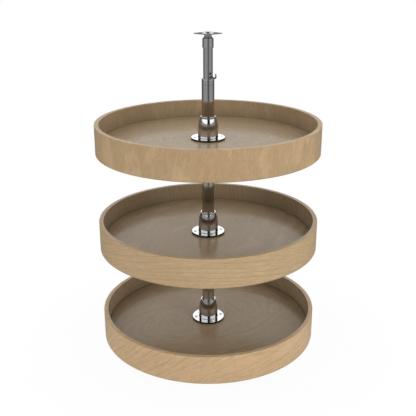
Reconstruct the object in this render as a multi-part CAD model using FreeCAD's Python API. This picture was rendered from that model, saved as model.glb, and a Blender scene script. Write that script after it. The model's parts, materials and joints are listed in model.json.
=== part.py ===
# Three-tier rotating pantry carousel: round wooden trays that turn on a telescoping metal post.
#
# Millimetres, +Z up. The origin is on the cabinet floor, where the post's axis meets it, and the
# front of the object is -Y. Each piece is written to parts/NAME.step at its real place.

import FreeCAD, Part

import math
import os

Vector = FreeCAD.Vector

# ------------------------------------------------------------------ driving dimensions
# Trays: a bent wooden band round a veneered floor panel.
TRAY_NAMES = ("bottom", "middle", "top")
TRAY_DIAMETER = 457.2
TRAY_SPACING = 204.2
TRAY_GROUND_CLEARANCE = 20.0
BAND_HEIGHT = 59.5
BAND_WALL = 9.5
BAND_LIP_ROUNDING = 2.0
BAND_FOOT_ROUNDING = 1.2
FLOOR_THICKNESS = 12.0
FLOOR_RECESS = 10.5
GROOVE_DEPTH = 4.0
GLUE_GAP = 0.1

# Post: an upper tube that slides in a lower tube through a ferrule.
UPPER_TUBE_DIAMETER = 19.05
UPPER_TUBE_WALL = 1.5
GUIDE_WALL = 1.445
LOWER_TUBE_WALL = 1.6
SLIDE_CLEARANCE = 0.08
PRESS_GAP = 0.05
POST_RISE = 122.0
UPPER_TUBE_SHOWN = 60.0
TRAVEL = 114.3
STOP_GAP = 1.0
FERRULE_LIP = 3.2
FERRULE_ROUNDING = 2.2
FERRULE_SLEEVE = 30.0
PLUG_HEAD = 22.0
PLUG_ROUNDING = 1.5
PLUG_SPIGOT = 12.0
PLUG_BORE_DIAMETER = 8.0

# Height setting: a hooked wire pin with a stop bead, through one of a row of cross holes.
WIRE_DIAMETER = 3.2
WIRE_HOLE_CLEARANCE = 0.1
WIRE_TAIL = 3.0
HOLE_PITCH = 6.35
HOLES_ABOVE_PIN = 1
HOOK_AZIMUTH = 30.0
HOOK_NECK = 6.5
HOOK_DIP_REACH = 5.5
HOOK_DIP = 1.2
HOOK_REACH = 15.6
HOOK_HEEL = 0.6
HOOK_TIP_RETURN = 2.4
HOOK_TIP_RISE = 6.6
HOOK_BEND = 4.2
BEAD_DIAMETER = 9.4
BEAD_LENGTH = 3.4
BEAD_ROUNDING = 1.4
BEAD_GAP = 0.3

# Top pivot: a cone-ended cap on the upper tube turns on a pin riveted to the ceiling plate.
CAP_WALL = 1.5
CAP_SKIRT = 17.2
CAP_SOCKET = 12.5
CAP_CONE = 4.4
CAP_SPIGOT = 9.0
CAP_SPIGOT_GAP = 0.2
NECK_DIAMETER = 14.4
PIVOT_DIAMETER = 7.0
PIVOT_JOURNAL = 15.0
PIVOT_TIP_ROUNDING = 1.2
PIVOT_SHOULDER = 1.5
PIVOT_BUSH_WALL = 1.3
PIVOT_BUSH_FLANGE = 1.2
RIVET_HEAD_DIAMETER = 10.0
RIVET_HEAD = 0.8
TOP_PLATE_SIDE = 40.0
TOP_PLATE_THICKNESS = 1.5
TOP_PLATE_CORNER = 1.5
TOP_PLATE_TURN = 45.0
TOP_DISH_DEPTH = 2.0
TOP_DISH_RIM_DIAMETER = 25.0
TOP_DISH_BASE_DIAMETER = 15.0
TOP_HOLE_COUNT = 4
TOP_HOLE_CIRCLE = 37.0
TOP_HOLE_DIAMETER = 4.4
TOP_SINK_DIAMETER = 6.6

# Base pivot: a stud on the floor plate carries the lower tube on a flanged bearing.
BASE_SIDE = 88.0
BASE_THICKNESS = 3.0
BASE_CORNER = 9.0
BASE_HOLE_SPACING = 64.0
BASE_HOLE_DIAMETER = 5.2
BASE_SINK_DIAMETER = 9.6
STUD_DIAMETER = 12.0
STUD_SHOULDER_DIAMETER = 26.0
STUD_SHOULDER = 2.5
STUD_JOURNAL = 20.0
STUD_TIP_ROUNDING = 2.0
STUD_RIVET_DIAMETER = 9.0
STUD_RECESS = 0.4
THRUST_WASHER = 1.0
FOOT_FLANGE = 2.5
FOOT_SLEEVE = 22.0

# Hubs: a flanged bell stands on each tray floor, round a plastic bush, with a ring on its crown.
RUNNING_CLEARANCE = 0.1
BUSH_WALL = 4.15
BUSH_FLANGE_WIDTH = 6.0
BUSH_FLANGE = 2.5
BUSH_RISE = 34.0
HUB_WALL = 3.7
HUB_FLANGE_WIDTH = 14.3
HUB_FLANGE = 3.9
HUB_FLANGE_ROUNDING = 0.9
HUB_FILLET = 1.0
BELL_HEIGHT = 43.0
BELL_SHOULDER = 25.0
RING_GAP = 1.0
RING_WALL = 3.0
RING_HEIGHT = 3.7
RING_ROUNDING = 1.8
RING_SPIGOT = 3.0
RING_SPIGOT_WALL = 1.5
RING_SET_IN = 0.3

# Collars: each is locked to the post under a tray and carries it.
COLLAR_WALL = 6.3
COLLAR_HEIGHT = 11.0
COLLAR_ROUNDING = 0.8
GRUB_DIAMETER = 6.0
GRUB_SOCKET_SIDES = 6
GRUB_SOCKET_FLATS = 3.0
GRUB_SOCKET_DEPTH = 3.2
GRUB_AZIMUTH = 150.0

# Wood screws that hold each hub flange to its tray floor.
SCREW_COUNT = 4
SCREW_AZIMUTH = -78.0
SCREW_SHANK = 3.6
SCREW_CLEARANCE = 0.3
SCREW_LENGTH = 12.0
SCREW_HEAD = 7.4
SCREW_HEAD_DEPTH = 1.9
SCREW_CROWN = 0.5
CROSS_WIDTH = 0.9
CROSS_SPAN = 4.0
CROSS_DEPTH = 1.4
FIT_GAP = 0.05

# ------------------------------------------------------------------ derived sizes
OUTPUT = "parts"
AXIS = Vector(0, 0, 1)
CENTRE = Vector(0, 0, 0)
FULL = math.inf
WHOLE_TURN = 360.0
SHARED_SIDE = 0.49
WHOLE_SIDE = 0.98
SINK_DEPTH_SHARE = 0.75

tray_radius = TRAY_DIAMETER / 2
band_inner = tray_radius - BAND_WALL

upper_outer = UPPER_TUBE_DIAMETER / 2
upper_inner = upper_outer - UPPER_TUBE_WALL
ferrule_bore = upper_outer + SLIDE_CLEARANCE
lower_inner = ferrule_bore + GUIDE_WALL + PRESS_GAP
lower_outer = lower_inner + LOWER_TUBE_WALL

stud_shoulder_top = BASE_THICKNESS + STUD_SHOULDER
foot_flange_bottom = stud_shoulder_top + THRUST_WASHER
lower_tube_bottom = foot_flange_bottom + FOOT_FLANGE

top_tray_foot = TRAY_GROUND_CLEARANCE + TRAY_SPACING * (len(TRAY_NAMES) - 1)
ferrule_top = top_tray_foot + FLOOR_RECESS + FLOOR_THICKNESS + POST_RISE
lower_tube_top = ferrule_top - FERRULE_LIP
ferrule_bottom = lower_tube_top - FERRULE_SLEEVE
upper_tube_bottom = ferrule_bottom - STOP_GAP - TRAVEL
cap_bottom = ferrule_top + UPPER_TUBE_SHOWN
upper_tube_top = cap_bottom + CAP_SOCKET
cap_shoulder = cap_bottom + CAP_SKIRT
cap_top = cap_shoulder + CAP_CONE
pin_height = ferrule_top + BEAD_GAP + BEAD_DIAMETER / 2

neck_radius = NECK_DIAMETER / 2
pivot_shoulder_bottom = cap_top + PIVOT_BUSH_FLANGE
dish_bottom = pivot_shoulder_bottom + PIVOT_SHOULDER
top_plate_bottom = dish_bottom + TOP_DISH_DEPTH
top_plate_top = top_plate_bottom + TOP_PLATE_THICKNESS
pivot_radius = PIVOT_DIAMETER / 2
pivot_bush_outer = pivot_radius + SLIDE_CLEARANCE + PIVOT_BUSH_WALL

bush_bore = lower_outer + RUNNING_CLEARANCE
bush_outer = bush_bore + BUSH_WALL
bell_cavity = bush_outer + PRESS_GAP
bell_outer = bell_cavity + HUB_WALL
flange_outer = bell_outer + HUB_FLANGE_WIDTH
ring_bore = lower_outer + RING_GAP
ring_outer = ring_bore + RING_WALL
bell_crown = ring_outer + RING_SET_IN
screw_circle = bell_outer + HUB_FLANGE_WIDTH / 2
collar_bore = lower_outer + PRESS_GAP
collar_outer = collar_bore + COLLAR_WALL


# ------------------------------------------------------------------ shaping helpers
def rounded_spans(corners):
    """Start, middle and end of each corner's arc, for (x, y, rounding) corners of a closed outline.

    A rounding takes no more of a side than the side has, so that it fits next to any wall.
    """
    count = len(corners)
    points = [Vector(x, y, 0) for x, y, rounding in corners]
    spans = []
    for index, here in enumerate(points):
        rounding = corners[index][2]
        if not rounding:
            spans.append((here, None, here))
            continue
        sides = []
        for neighbour in (index - 1, (index + 1) % count):
            share = SHARED_SIDE if corners[neighbour][2] else WHOLE_SIDE
            side = points[neighbour] - here
            room = side.Length * share
            sides.append((side.normalize(), room))
        (back, back_room), (ahead, ahead_room) = sides
        half = back.getAngle(ahead) / 2
        inset = min(rounding / math.tan(half), back_room, ahead_room)
        radius = inset * math.tan(half)
        bisector = (back + ahead).normalize()
        middle = here + bisector * (radius / math.sin(half) - radius)
        spans.append((here + back * inset, middle, here + ahead * inset))
    return spans


def rounded_outline(corners, place, closed=True):
    """Edges along rounded corners, each point set in space by place(point)."""
    spans = rounded_spans(corners)
    edges = []
    for index, (start, middle, end) in enumerate(spans):
        last = index == len(spans) - 1
        if middle is not None:
            edges.append(Part.Arc(place(start), place(middle), place(end)).toShape())
        following = spans[(index + 1) % len(spans)][0]
        if closed or not last:
            edges.append(Part.LineSegment(place(end), place(following)).toShape())
    return Part.Wire(edges)


def turned(*corners):
    """Solid turned about the post's axis from the (radius, height[, rounding]) corners of its section."""
    section = [corner if len(corner) == 3 else (*corner, 0) for corner in corners]
    outline = rounded_outline(section, lambda point: Vector(point.x, 0, point.y))
    return Part.Face(outline).revolve(CENTRE, AXIS, WHOLE_TURN)


def tube(inner, outer, bottom, top):
    """Plain round tube or washer on the post's axis."""
    return turned((inner, bottom), (outer, bottom), (outer, top), (inner, top))


def square_plate(side, corner, bottom, thickness, turn):
    """Square plate with rounded corners on the post's axis, turned by an angle in degrees."""
    half = side / 2
    signs = ((-1, -1), (1, -1), (1, 1), (-1, 1))
    corners = [(sx * half, sy * half, corner) for sx, sy in signs]
    outline = rounded_outline(corners, lambda point: point + AXIS * bottom)
    plate = Part.Face(outline).extrude(AXIS * thickness)
    plate.rotate(CENTRE, AXIS, turn)
    return plate


def outward(azimuth):
    """Level direction at an azimuth in degrees, counted from -Y towards +X."""
    angle = math.radians(azimuth)
    return Vector(math.sin(angle), -math.cos(angle), 0)


def ring_points(count, radius, first_azimuth):
    """Points evenly spaced round the axis at height zero."""
    pitch = WHOLE_TURN / count
    return [outward(first_azimuth + pitch * step) * radius for step in range(count)]


def square_points(spacing):
    """Corners of a square centred on the axis at height zero."""
    half = spacing / 2
    return [Vector(sx * half, sy * half, 0) for sx in (-1, 1) for sy in (-1, 1)]


def drilled(body, points, radius, bottom, top):
    """Body with an upright round hole at each point."""
    return body.cut([Part.makeCylinder(radius, top - bottom, p + AXIS * bottom, AXIS) for p in points])


def countersunk(body, points, hole, sink, face, depth):
    """Body with a cone sunk at each point, down from a face, or up where the depth is negative."""
    direction = AXIS * math.copysign(1, -depth)
    return body.cut([Part.makeCone(sink, hole, abs(depth), p + AXIS * face, direction) for p in points])


def along(shape, direction, place):
    """Shape made on the upright axis, laid along a direction at a place."""
    shape.Placement = FreeCAD.Placement(place, FreeCAD.Rotation(AXIS, direction))
    return shape


def write(name, shape):
    """Writes one named piece, and says so."""
    shape.exportStep(os.path.join(OUTPUT, name + ".step"))
    print(f"{name}: {len(shape.Solids)} solid(s), {shape.Volume / 1000:.2f} cm3")


# ------------------------------------------------------------------ trays
def tray_band(foot):
    """Bent hoop with a groove inside for the floor panel."""
    floor_bottom = foot + FLOOR_RECESS
    floor_top = floor_bottom + FLOOR_THICKNESS
    groove = band_inner + GROOVE_DEPTH
    return turned(
        (tray_radius, foot, BAND_FOOT_ROUNDING),
        (tray_radius, foot + BAND_HEIGHT, BAND_LIP_ROUNDING),
        (band_inner, foot + BAND_HEIGHT, BAND_LIP_ROUNDING),
        (band_inner, floor_top),
        (groove, floor_top),
        (groove, floor_bottom),
        (band_inner, floor_bottom),
        (band_inner, foot, BAND_FOOT_ROUNDING),
    )


def tray_floor(floor_bottom):
    """Round floor panel with a hole for the hub bush and pilot holes for the flange screws."""
    floor_top = floor_bottom + FLOOR_THICKNESS
    edge = band_inner + GROOVE_DEPTH - GLUE_GAP
    panel = tube(bush_outer + GLUE_GAP, edge, floor_bottom, floor_top)
    pilot_bottom = floor_top + HUB_FLANGE - SCREW_LENGTH - FIT_GAP
    return drilled(panel, screw_points(), SCREW_SHANK / 2 + FIT_GAP, pilot_bottom, floor_top)


# ------------------------------------------------------------------ hubs
def screw_points():
    """Places of the flange screws round the axis."""
    return ring_points(SCREW_COUNT, screw_circle, SCREW_AZIMUTH)


def hub_bell(seat):
    """Flanged bell with a long curved shoulder, hollow for the bush, with a narrower neck for its ring."""
    flange_top = seat + HUB_FLANGE
    crown = seat + BELL_HEIGHT
    neck_bore = ring_bore + RING_SPIGOT_WALL + FIT_GAP
    bell = turned(
        (bell_cavity, seat),
        (flange_outer, seat),
        (flange_outer, flange_top, HUB_FLANGE_ROUNDING),
        (bell_outer, flange_top, HUB_FILLET),
        (bell_outer, crown - BELL_SHOULDER / 2, FULL),
        (bell_crown, crown),
        (neck_bore, crown),
        (neck_bore, seat + BUSH_RISE),
        (bell_cavity, seat + BUSH_RISE),
    )
    shank = SCREW_SHANK / 2
    sink = SCREW_HEAD / 2 + FIT_GAP
    depth = SCREW_HEAD_DEPTH + FIT_GAP
    bell = drilled(bell, screw_points(), shank + SCREW_CLEARANCE, seat, flange_top)
    return countersunk(bell, screw_points(), shank, sink, flange_top, depth)


def hub_ring(crown):
    """Ring on the bell's crown, located by a spigot."""
    top = crown + RING_HEIGHT
    spigot_outer = ring_bore + RING_SPIGOT_WALL
    return turned(
        (ring_bore, crown - RING_SPIGOT),
        (spigot_outer, crown - RING_SPIGOT),
        (spigot_outer, crown),
        (ring_outer, crown),
        (ring_outer, top, RING_ROUNDING),
        (ring_bore, top),
    )


def hub_bush(floor_bottom):
    """Plastic bush from under the floor panel to inside the bell, with a flange that carries the tray."""
    flange_bottom = floor_bottom - BUSH_FLANGE
    sleeve_top = floor_bottom + FLOOR_THICKNESS + BUSH_RISE
    flange_radius = bush_outer + BUSH_FLANGE_WIDTH
    return turned(
        (bush_bore, flange_bottom),
        (flange_radius, flange_bottom),
        (flange_radius, floor_bottom),
        (bush_outer, floor_bottom),
        (bush_outer, sleeve_top),
        (bush_bore, sleeve_top),
    )


def flange_screw(place, flange_top):
    """Countersunk wood screw with a crowned head and a cross recess."""
    crown_top = flange_top + SCREW_CROWN
    head_bottom = flange_top - SCREW_HEAD_DEPTH
    tip = flange_top - SCREW_LENGTH
    head = SCREW_HEAD / 2
    shank = SCREW_SHANK / 2
    screw = turned(
        (0, tip),
        (shank, tip + shank),
        (shank, head_bottom),
        (head, flange_top),
        (head / 2, crown_top, FULL),
        (0, crown_top),
    )
    for turn in (0, 90):
        slot = Part.makeBox(CROSS_SPAN, CROSS_WIDTH, CROSS_DEPTH)
        slot.translate(Vector(-CROSS_SPAN / 2, -CROSS_WIDTH / 2, crown_top - CROSS_DEPTH))
        slot.rotate(CENTRE, AXIS, turn)
        screw = screw.cut(slot)
    screw.translate(place)
    return screw


def flange_screws(flange_top):
    """The set of screws that holds one hub."""
    return Part.Compound([flange_screw(place, flange_top) for place in screw_points()])


# ------------------------------------------------------------------ collars on the post
def collar(bottom):
    """Ring locked to the post, with a threaded hole for its grub screw."""
    top = bottom + COLLAR_HEIGHT
    ring = turned(
        (collar_bore, bottom),
        (collar_outer, bottom, COLLAR_ROUNDING),
        (collar_outer, top, COLLAR_ROUNDING),
        (collar_bore, top),
    )
    middle = Vector(0, 0, bottom + COLLAR_HEIGHT / 2)
    drill = Part.makeCylinder(GRUB_DIAMETER / 2, collar_outer * 2, middle, outward(GRUB_AZIMUTH))
    return ring.cut(drill)


def grub_screw(bottom):
    """Headless screw with a hexagon socket, its tip on the tube's wall."""
    direction = outward(GRUB_AZIMUTH)
    tip = direction * collar_bore + AXIS * (bottom + COLLAR_HEIGHT / 2)
    length = COLLAR_WALL - COLLAR_ROUNDING
    screw = Part.makeCylinder(GRUB_DIAMETER / 2 - FIT_GAP, length, tip, direction)
    corner_radius = GRUB_SOCKET_FLATS / 2 / math.cos(math.pi / GRUB_SOCKET_SIDES)
    corners = ring_points(GRUB_SOCKET_SIDES, corner_radius, 0)
    hexagon = Part.Face(Part.makePolygon(corners + corners[:1]))
    mouth = tip + direction * (length - GRUB_SOCKET_DEPTH)
    return screw.cut(along(hexagon.extrude(AXIS * length), direction, mouth))


# ------------------------------------------------------------------ telescoping post
def lower_tube():
    """Outer tube of the post."""
    return tube(lower_inner, lower_outer, lower_tube_bottom, lower_tube_top)


def ferrule():
    """Collar on the lower tube's end that guides the upper tube."""
    sleeve_outer = lower_inner - PRESS_GAP
    return turned(
        (ferrule_bore, ferrule_bottom),
        (sleeve_outer, ferrule_bottom),
        (sleeve_outer, lower_tube_top),
        (lower_outer, lower_tube_top),
        (lower_outer, ferrule_top, FERRULE_ROUNDING),
        (ferrule_bore, ferrule_top),
    )


def upper_tube():
    """Inner tube with its row of cross holes for the height pin."""
    body = tube(upper_inner, upper_outer, upper_tube_bottom, upper_tube_top)
    radius = WIRE_DIAMETER / 2 + WIRE_HOLE_CLEARANCE
    direction = outward(HOOK_AZIMUTH)
    lowest = upper_tube_bottom + PLUG_SPIGOT + radius + HOLE_PITCH / 2
    holes_below = int((pin_height - lowest) / HOLE_PITCH)
    drills = []
    for step in range(-HOLES_ABOVE_PIN, holes_below + 1):
        start = AXIS * (pin_height - step * HOLE_PITCH) - direction * (upper_outer * 2)
        drills.append(Part.makeCylinder(radius, upper_outer * 4, start, direction))
    return body.cut(drills)


def guide_plug():
    """Plastic plug in the upper tube's lower end that slides in the lower tube."""
    head_outer = lower_inner - SLIDE_CLEARANCE
    spigot_outer = upper_inner - FIT_GAP
    head_bottom = upper_tube_bottom - PLUG_HEAD
    spigot_top = upper_tube_bottom + PLUG_SPIGOT
    bore = PLUG_BORE_DIAMETER / 2
    return turned(
        (bore, head_bottom),
        (head_outer, head_bottom, PLUG_ROUNDING),
        (head_outer, upper_tube_bottom),
        (spigot_outer, upper_tube_bottom),
        (spigot_outer, spigot_top),
        (bore, spigot_top),
    )


def hook_path():
    """Centre line of the height pin: straight through the tube, then down and up into an open hook."""
    neck = upper_outer + HOOK_NECK
    corners = [
        (-upper_outer - WIRE_TAIL, 0, 0),
        (neck, 0, HOOK_BEND),
        (neck + HOOK_DIP_REACH, -HOOK_DIP, HOOK_BEND),
        (neck + HOOK_REACH, -HOOK_HEEL, HOOK_BEND),
        (neck + HOOK_REACH - HOOK_TIP_RETURN, HOOK_TIP_RISE, 0),
    ]
    direction = outward(HOOK_AZIMUTH)
    return rounded_outline(corners, lambda p: direction * p.x + AXIS * (pin_height + p.y), closed=False)


def hook_pin():
    """Hooked wire pin, whose bead rests on the ferrule and sets the post's height."""
    direction = outward(HOOK_AZIMUTH)
    wire_radius = WIRE_DIAMETER / 2
    path = hook_path()
    circle = Part.Circle(path.OrderedVertexes[0].Point, direction, wire_radius)
    wire = path.makePipeShell([Part.Wire(circle.toShape())], True, False)
    tip = Part.makeSphere(wire_radius, path.OrderedVertexes[-1].Point)
    bead = turned(
        (0, 0),
        (BEAD_DIAMETER / 2, 0, BEAD_ROUNDING),
        (BEAD_DIAMETER / 2, BEAD_LENGTH, BEAD_ROUNDING),
        (0, BEAD_LENGTH),
    )
    seat = direction * (upper_outer + BEAD_GAP) + AXIS * pin_height
    return wire.fuse([tip, along(bead, direction, seat)])


# ------------------------------------------------------------------ top pivot
def top_cap():
    """Cone-ended cap over the upper tube, bored for the pivot bush."""
    skirt_bore = upper_outer + FIT_GAP
    skirt_outer = skirt_bore + CAP_WALL
    spigot_outer = upper_inner - CAP_SPIGOT_GAP
    spigot_bottom = upper_tube_top - CAP_SPIGOT
    bush_hole = pivot_bush_outer + FIT_GAP
    return turned(
        (skirt_bore, cap_bottom),
        (skirt_outer, cap_bottom, CAP_WALL / 2),
        (skirt_outer, cap_shoulder, CAP_WALL / 2),
        (neck_radius, cap_top),
        (bush_hole, cap_top),
        (bush_hole, spigot_bottom),
        (spigot_outer, spigot_bottom),
        (spigot_outer, upper_tube_top),
        (skirt_bore, upper_tube_top),
    )


def pivot_bush():
    """Flanged plastic bush in the cap, under the pin's shoulder."""
    bore = pivot_radius + SLIDE_CLEARANCE
    bottom = upper_tube_top - CAP_SPIGOT
    flange_top = cap_top + PIVOT_BUSH_FLANGE
    return turned(
        (bore, bottom),
        (pivot_bush_outer, bottom),
        (pivot_bush_outer, cap_top),
        (neck_radius, cap_top),
        (neck_radius, flange_top),
        (bore, flange_top),
    )


def pivot_pin():
    """Shouldered pin, its upper end riveted over inside the ceiling plate's dish."""
    journal_bottom = pivot_shoulder_bottom - PIVOT_JOURNAL
    head_seat = dish_bottom + TOP_PLATE_THICKNESS
    head = RIVET_HEAD_DIAMETER / 2
    return turned(
        (0, journal_bottom),
        (pivot_radius, journal_bottom, PIVOT_TIP_ROUNDING),
        (pivot_radius, pivot_shoulder_bottom),
        (neck_radius, pivot_shoulder_bottom),
        (neck_radius, dish_bottom),
        (pivot_radius, dish_bottom),
        (pivot_radius, head_seat),
        (head, head_seat),
        (head, head_seat + RIVET_HEAD, RIVET_HEAD),
        (0, head_seat + RIVET_HEAD),
    )


def top_plate():
    """Ceiling plate: a small square set cornerwise, dished for the rivet and countersunk from below."""
    rim = TOP_DISH_RIM_DIAMETER / 2
    base = TOP_DISH_BASE_DIAMETER / 2
    hole = pivot_radius + FIT_GAP
    thickness = TOP_PLATE_THICKNESS
    flat = square_plate(TOP_PLATE_SIDE, TOP_PLATE_CORNER, top_plate_bottom, thickness, TOP_PLATE_TURN)
    flat = drilled(flat, [CENTRE], rim, top_plate_bottom, top_plate_top)
    dish = turned(
        (hole, dish_bottom),
        (base, dish_bottom),
        (rim, top_plate_bottom),
        (rim, top_plate_top),
        (base, dish_bottom + thickness),
        (hole, dish_bottom + thickness),
    )
    plate = flat.fuse(dish).removeSplitter()
    points = ring_points(TOP_HOLE_COUNT, TOP_HOLE_CIRCLE / 2, 0)
    radius = TOP_HOLE_DIAMETER / 2
    plate = drilled(plate, points, radius, top_plate_bottom, top_plate_top)
    depth = min(TOP_SINK_DIAMETER / 2 - radius, thickness * SINK_DEPTH_SHARE)
    return countersunk(plate, points, radius, radius + depth, top_plate_bottom, -depth)


# ------------------------------------------------------------------ base pivot
def base_plate():
    """Floor plate with countersunk screw holes and a hole for the stud's rivet."""
    plate = square_plate(BASE_SIDE, BASE_CORNER, 0, BASE_THICKNESS, 0)
    points = square_points(BASE_HOLE_SPACING)
    radius = BASE_HOLE_DIAMETER / 2
    plate = drilled(plate, points, radius, 0, BASE_THICKNESS)
    plate = drilled(plate, [CENTRE], STUD_RIVET_DIAMETER / 2 + FIT_GAP, 0, BASE_THICKNESS)
    depth = min(BASE_SINK_DIAMETER / 2 - radius, BASE_THICKNESS * SINK_DEPTH_SHARE)
    return countersunk(plate, points, radius, radius + depth, BASE_THICKNESS, depth)


def base_stud():
    """Shouldered stud riveted to the floor plate."""
    journal_top = stud_shoulder_top + STUD_JOURNAL
    rivet = STUD_RIVET_DIAMETER / 2
    journal = STUD_DIAMETER / 2
    return turned(
        (0, STUD_RECESS),
        (rivet, STUD_RECESS),
        (rivet, BASE_THICKNESS),
        (STUD_SHOULDER_DIAMETER / 2, BASE_THICKNESS),
        (STUD_SHOULDER_DIAMETER / 2, stud_shoulder_top),
        (journal, stud_shoulder_top),
        (journal, journal_top, STUD_TIP_ROUNDING),
        (0, journal_top),
    )


def thrust_washer():
    """Washer between the stud's shoulder and the foot bearing."""
    bore = STUD_DIAMETER / 2 + SLIDE_CLEARANCE
    return tube(bore, STUD_SHOULDER_DIAMETER / 2, stud_shoulder_top, foot_flange_bottom)


def foot_bearing():
    """Flanged plastic bearing in the lower tube's end."""
    bore = STUD_DIAMETER / 2 + SLIDE_CLEARANCE
    sleeve_outer = lower_inner - PRESS_GAP
    sleeve_top = lower_tube_bottom + FOOT_SLEEVE
    return turned(
        (bore, foot_flange_bottom),
        (lower_outer, foot_flange_bottom),
        (lower_outer, lower_tube_bottom),
        (sleeve_outer, lower_tube_bottom),
        (sleeve_outer, sleeve_top),
        (bore, sleeve_top),
    )


# ------------------------------------------------------------------ assembly
def write_tray(name, foot):
    """Writes the pieces of one tray and of the collar that carries it."""
    floor_bottom = foot + FLOOR_RECESS
    seat = floor_bottom + FLOOR_THICKNESS
    collar_bottom = floor_bottom - BUSH_FLANGE - COLLAR_HEIGHT
    write(f"{name}_band", tray_band(foot))
    write(f"{name}_floor", tray_floor(floor_bottom))
    write(f"{name}_hub_bell", hub_bell(seat))
    write(f"{name}_hub_ring", hub_ring(seat + BELL_HEIGHT))
    write(f"{name}_hub_bush", hub_bush(floor_bottom))
    write(f"{name}_hub_screws", flange_screws(seat + HUB_FLANGE))
    write(f"{name}_collar", collar(collar_bottom))
    write(f"{name}_collar_screw", grub_screw(collar_bottom))


def write_post():
    """Writes the post with its pivots."""
    pieces = (
        lower_tube,
        ferrule,
        upper_tube,
        guide_plug,
        hook_pin,
        top_cap,
        pivot_bush,
        pivot_pin,
        top_plate,
        base_plate,
        base_stud,
        thrust_washer,
        foot_bearing,
    )
    for piece in pieces:
        write(piece.__name__, piece())


def main():
    os.makedirs(OUTPUT, exist_ok=True)
    for index, name in enumerate(TRAY_NAMES):
        write_tray(name, TRAY_GROUND_CLEARANCE + index * TRAY_SPACING)
    write_post()
    print(f"pin at {pin_height:.2f}, ferrule top {ferrule_top:.2f}, ceiling face {top_plate_top:.2f}")


main()
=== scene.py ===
# Three-tray pantry carousel: its finely shaped pieces, their finishes and the studio, on the packed frame.
# Metres, +Z up, with the front of the object at -Y. Azimuths are counted from -Y towards +X.
import json
import math

import bmesh
import bpy
from bpy.props import FloatProperty, FloatVectorProperty, IntProperty, PointerProperty
from bpy.types import Operator, Panel, PropertyGroup
from mathutils import Matrix, Vector

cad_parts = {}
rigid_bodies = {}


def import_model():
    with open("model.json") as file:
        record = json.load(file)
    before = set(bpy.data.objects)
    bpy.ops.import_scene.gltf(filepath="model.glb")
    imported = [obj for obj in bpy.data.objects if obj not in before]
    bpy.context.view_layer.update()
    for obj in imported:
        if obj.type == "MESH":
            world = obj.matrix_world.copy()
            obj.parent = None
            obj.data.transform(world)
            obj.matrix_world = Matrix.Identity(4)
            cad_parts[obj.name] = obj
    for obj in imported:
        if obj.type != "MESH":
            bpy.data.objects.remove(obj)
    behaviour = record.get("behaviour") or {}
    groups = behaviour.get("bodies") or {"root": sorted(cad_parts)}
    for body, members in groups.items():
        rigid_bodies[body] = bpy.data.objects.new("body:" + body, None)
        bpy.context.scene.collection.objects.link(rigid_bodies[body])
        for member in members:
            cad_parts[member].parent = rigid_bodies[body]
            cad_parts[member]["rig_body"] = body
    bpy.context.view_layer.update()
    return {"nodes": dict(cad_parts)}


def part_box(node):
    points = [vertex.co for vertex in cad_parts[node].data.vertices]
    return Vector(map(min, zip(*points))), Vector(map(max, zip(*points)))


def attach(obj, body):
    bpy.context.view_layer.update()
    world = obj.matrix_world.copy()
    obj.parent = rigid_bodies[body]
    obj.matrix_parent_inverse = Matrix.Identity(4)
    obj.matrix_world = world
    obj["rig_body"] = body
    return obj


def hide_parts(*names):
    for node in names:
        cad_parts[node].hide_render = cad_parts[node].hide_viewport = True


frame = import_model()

bl_info = {
    "name": "Pantry Carousel",
    "version": (1, 0, 0),
    "blender": (4, 5, 0),
    "location": "3D View > Sidebar > Carousel",
    "description": "Dresses the packed frame of a three-tray pantry carousel and sets its studio",
    "category": "Add Mesh",
}

# ------------------------------------------------------------------ what the frame says
MM = 0.001
TRAYS = ("bottom", "middle", "top")
NODE_BODY = {name: piece["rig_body"] for name, piece in frame["nodes"].items()}


def reach(node):
    """Largest radius of a node that is round about the post."""
    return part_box(node)[1].x


def low(node):
    """Height of a node's lowest point."""
    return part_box(node)[0].z


def high(node):
    """Height of a node's highest point."""
    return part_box(node)[1].z


# ------------------------------------------------------------------ fixed sizes that the boxes don't tell
# Hubs and their bushes.
BUSH_BORE = reach("lower_tube") + 0.1 * MM
BUSH_OUTER = 16.95 * MM
BUSH_SLEEVE_TOP = 34.0 * MM
BELL_CAVITY = 17.0 * MM
BELL_OUTER = 20.7 * MM
BELL_UNDERSIDE_EDGE = 0.7 * MM
RING_BORE = 13.7 * MM
RING_OUTER = 16.7 * MM
RING_SPIGOT = 15.2 * MM
RING_SET_IN = 0.3 * MM

# Flange screws, with their cross recess.
SCREW_CIRCLE = 27.85 * MM
SCREW_FIRST = math.radians(-78.0)
SCREW_LENGTH = 12.0 * MM
SCREW_SHANK = 1.8 * MM
SCREW_HEAD = 3.7 * MM
SCREW_HEAD_DEPTH = 1.9 * MM
SCREW_HEAD_WALL = 0.15 * MM
SCREW_CROWN = 0.5 * MM
CROSS_SPAN = 4.0 * MM
CROSS_WIDTH = 0.9 * MM
CROSS_DEPTH = 1.5 * MM

# Stop collars and their set-screws.
COLLAR_BORE = 12.75 * MM
GRUB_AZIMUTH = math.radians(150.0)
GRUB_RADIUS = 3.0 * MM
GRUB_SOCKET = 1.7 * MM
GRUB_SOCKET_DEPTH = 3.2 * MM

# Tubes, ferrule, guide plug and cap.
LOWER_BORE = 11.1 * MM
UPPER_BORE = 8.025 * MM
FERRULE_BORE = 9.605 * MM
TUBE_GROOVE_HALF = 0.7 * MM
TUBE_GROOVE_DEPTH = 0.1 * MM
LOWEST_HOLE = 17.0 * MM
HOLE_CLEARANCE = 0.1 * MM
PLUG_BORE = 4.0 * MM
PLUG_EDGE = 1.5 * MM
CAP_CONE = 4.4 * MM
CAP_SPIGOT_GAP = 0.2 * MM
PIVOT_RADIUS = 3.5 * MM
PIVOT_BUSH_WALL = 1.38 * MM

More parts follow.
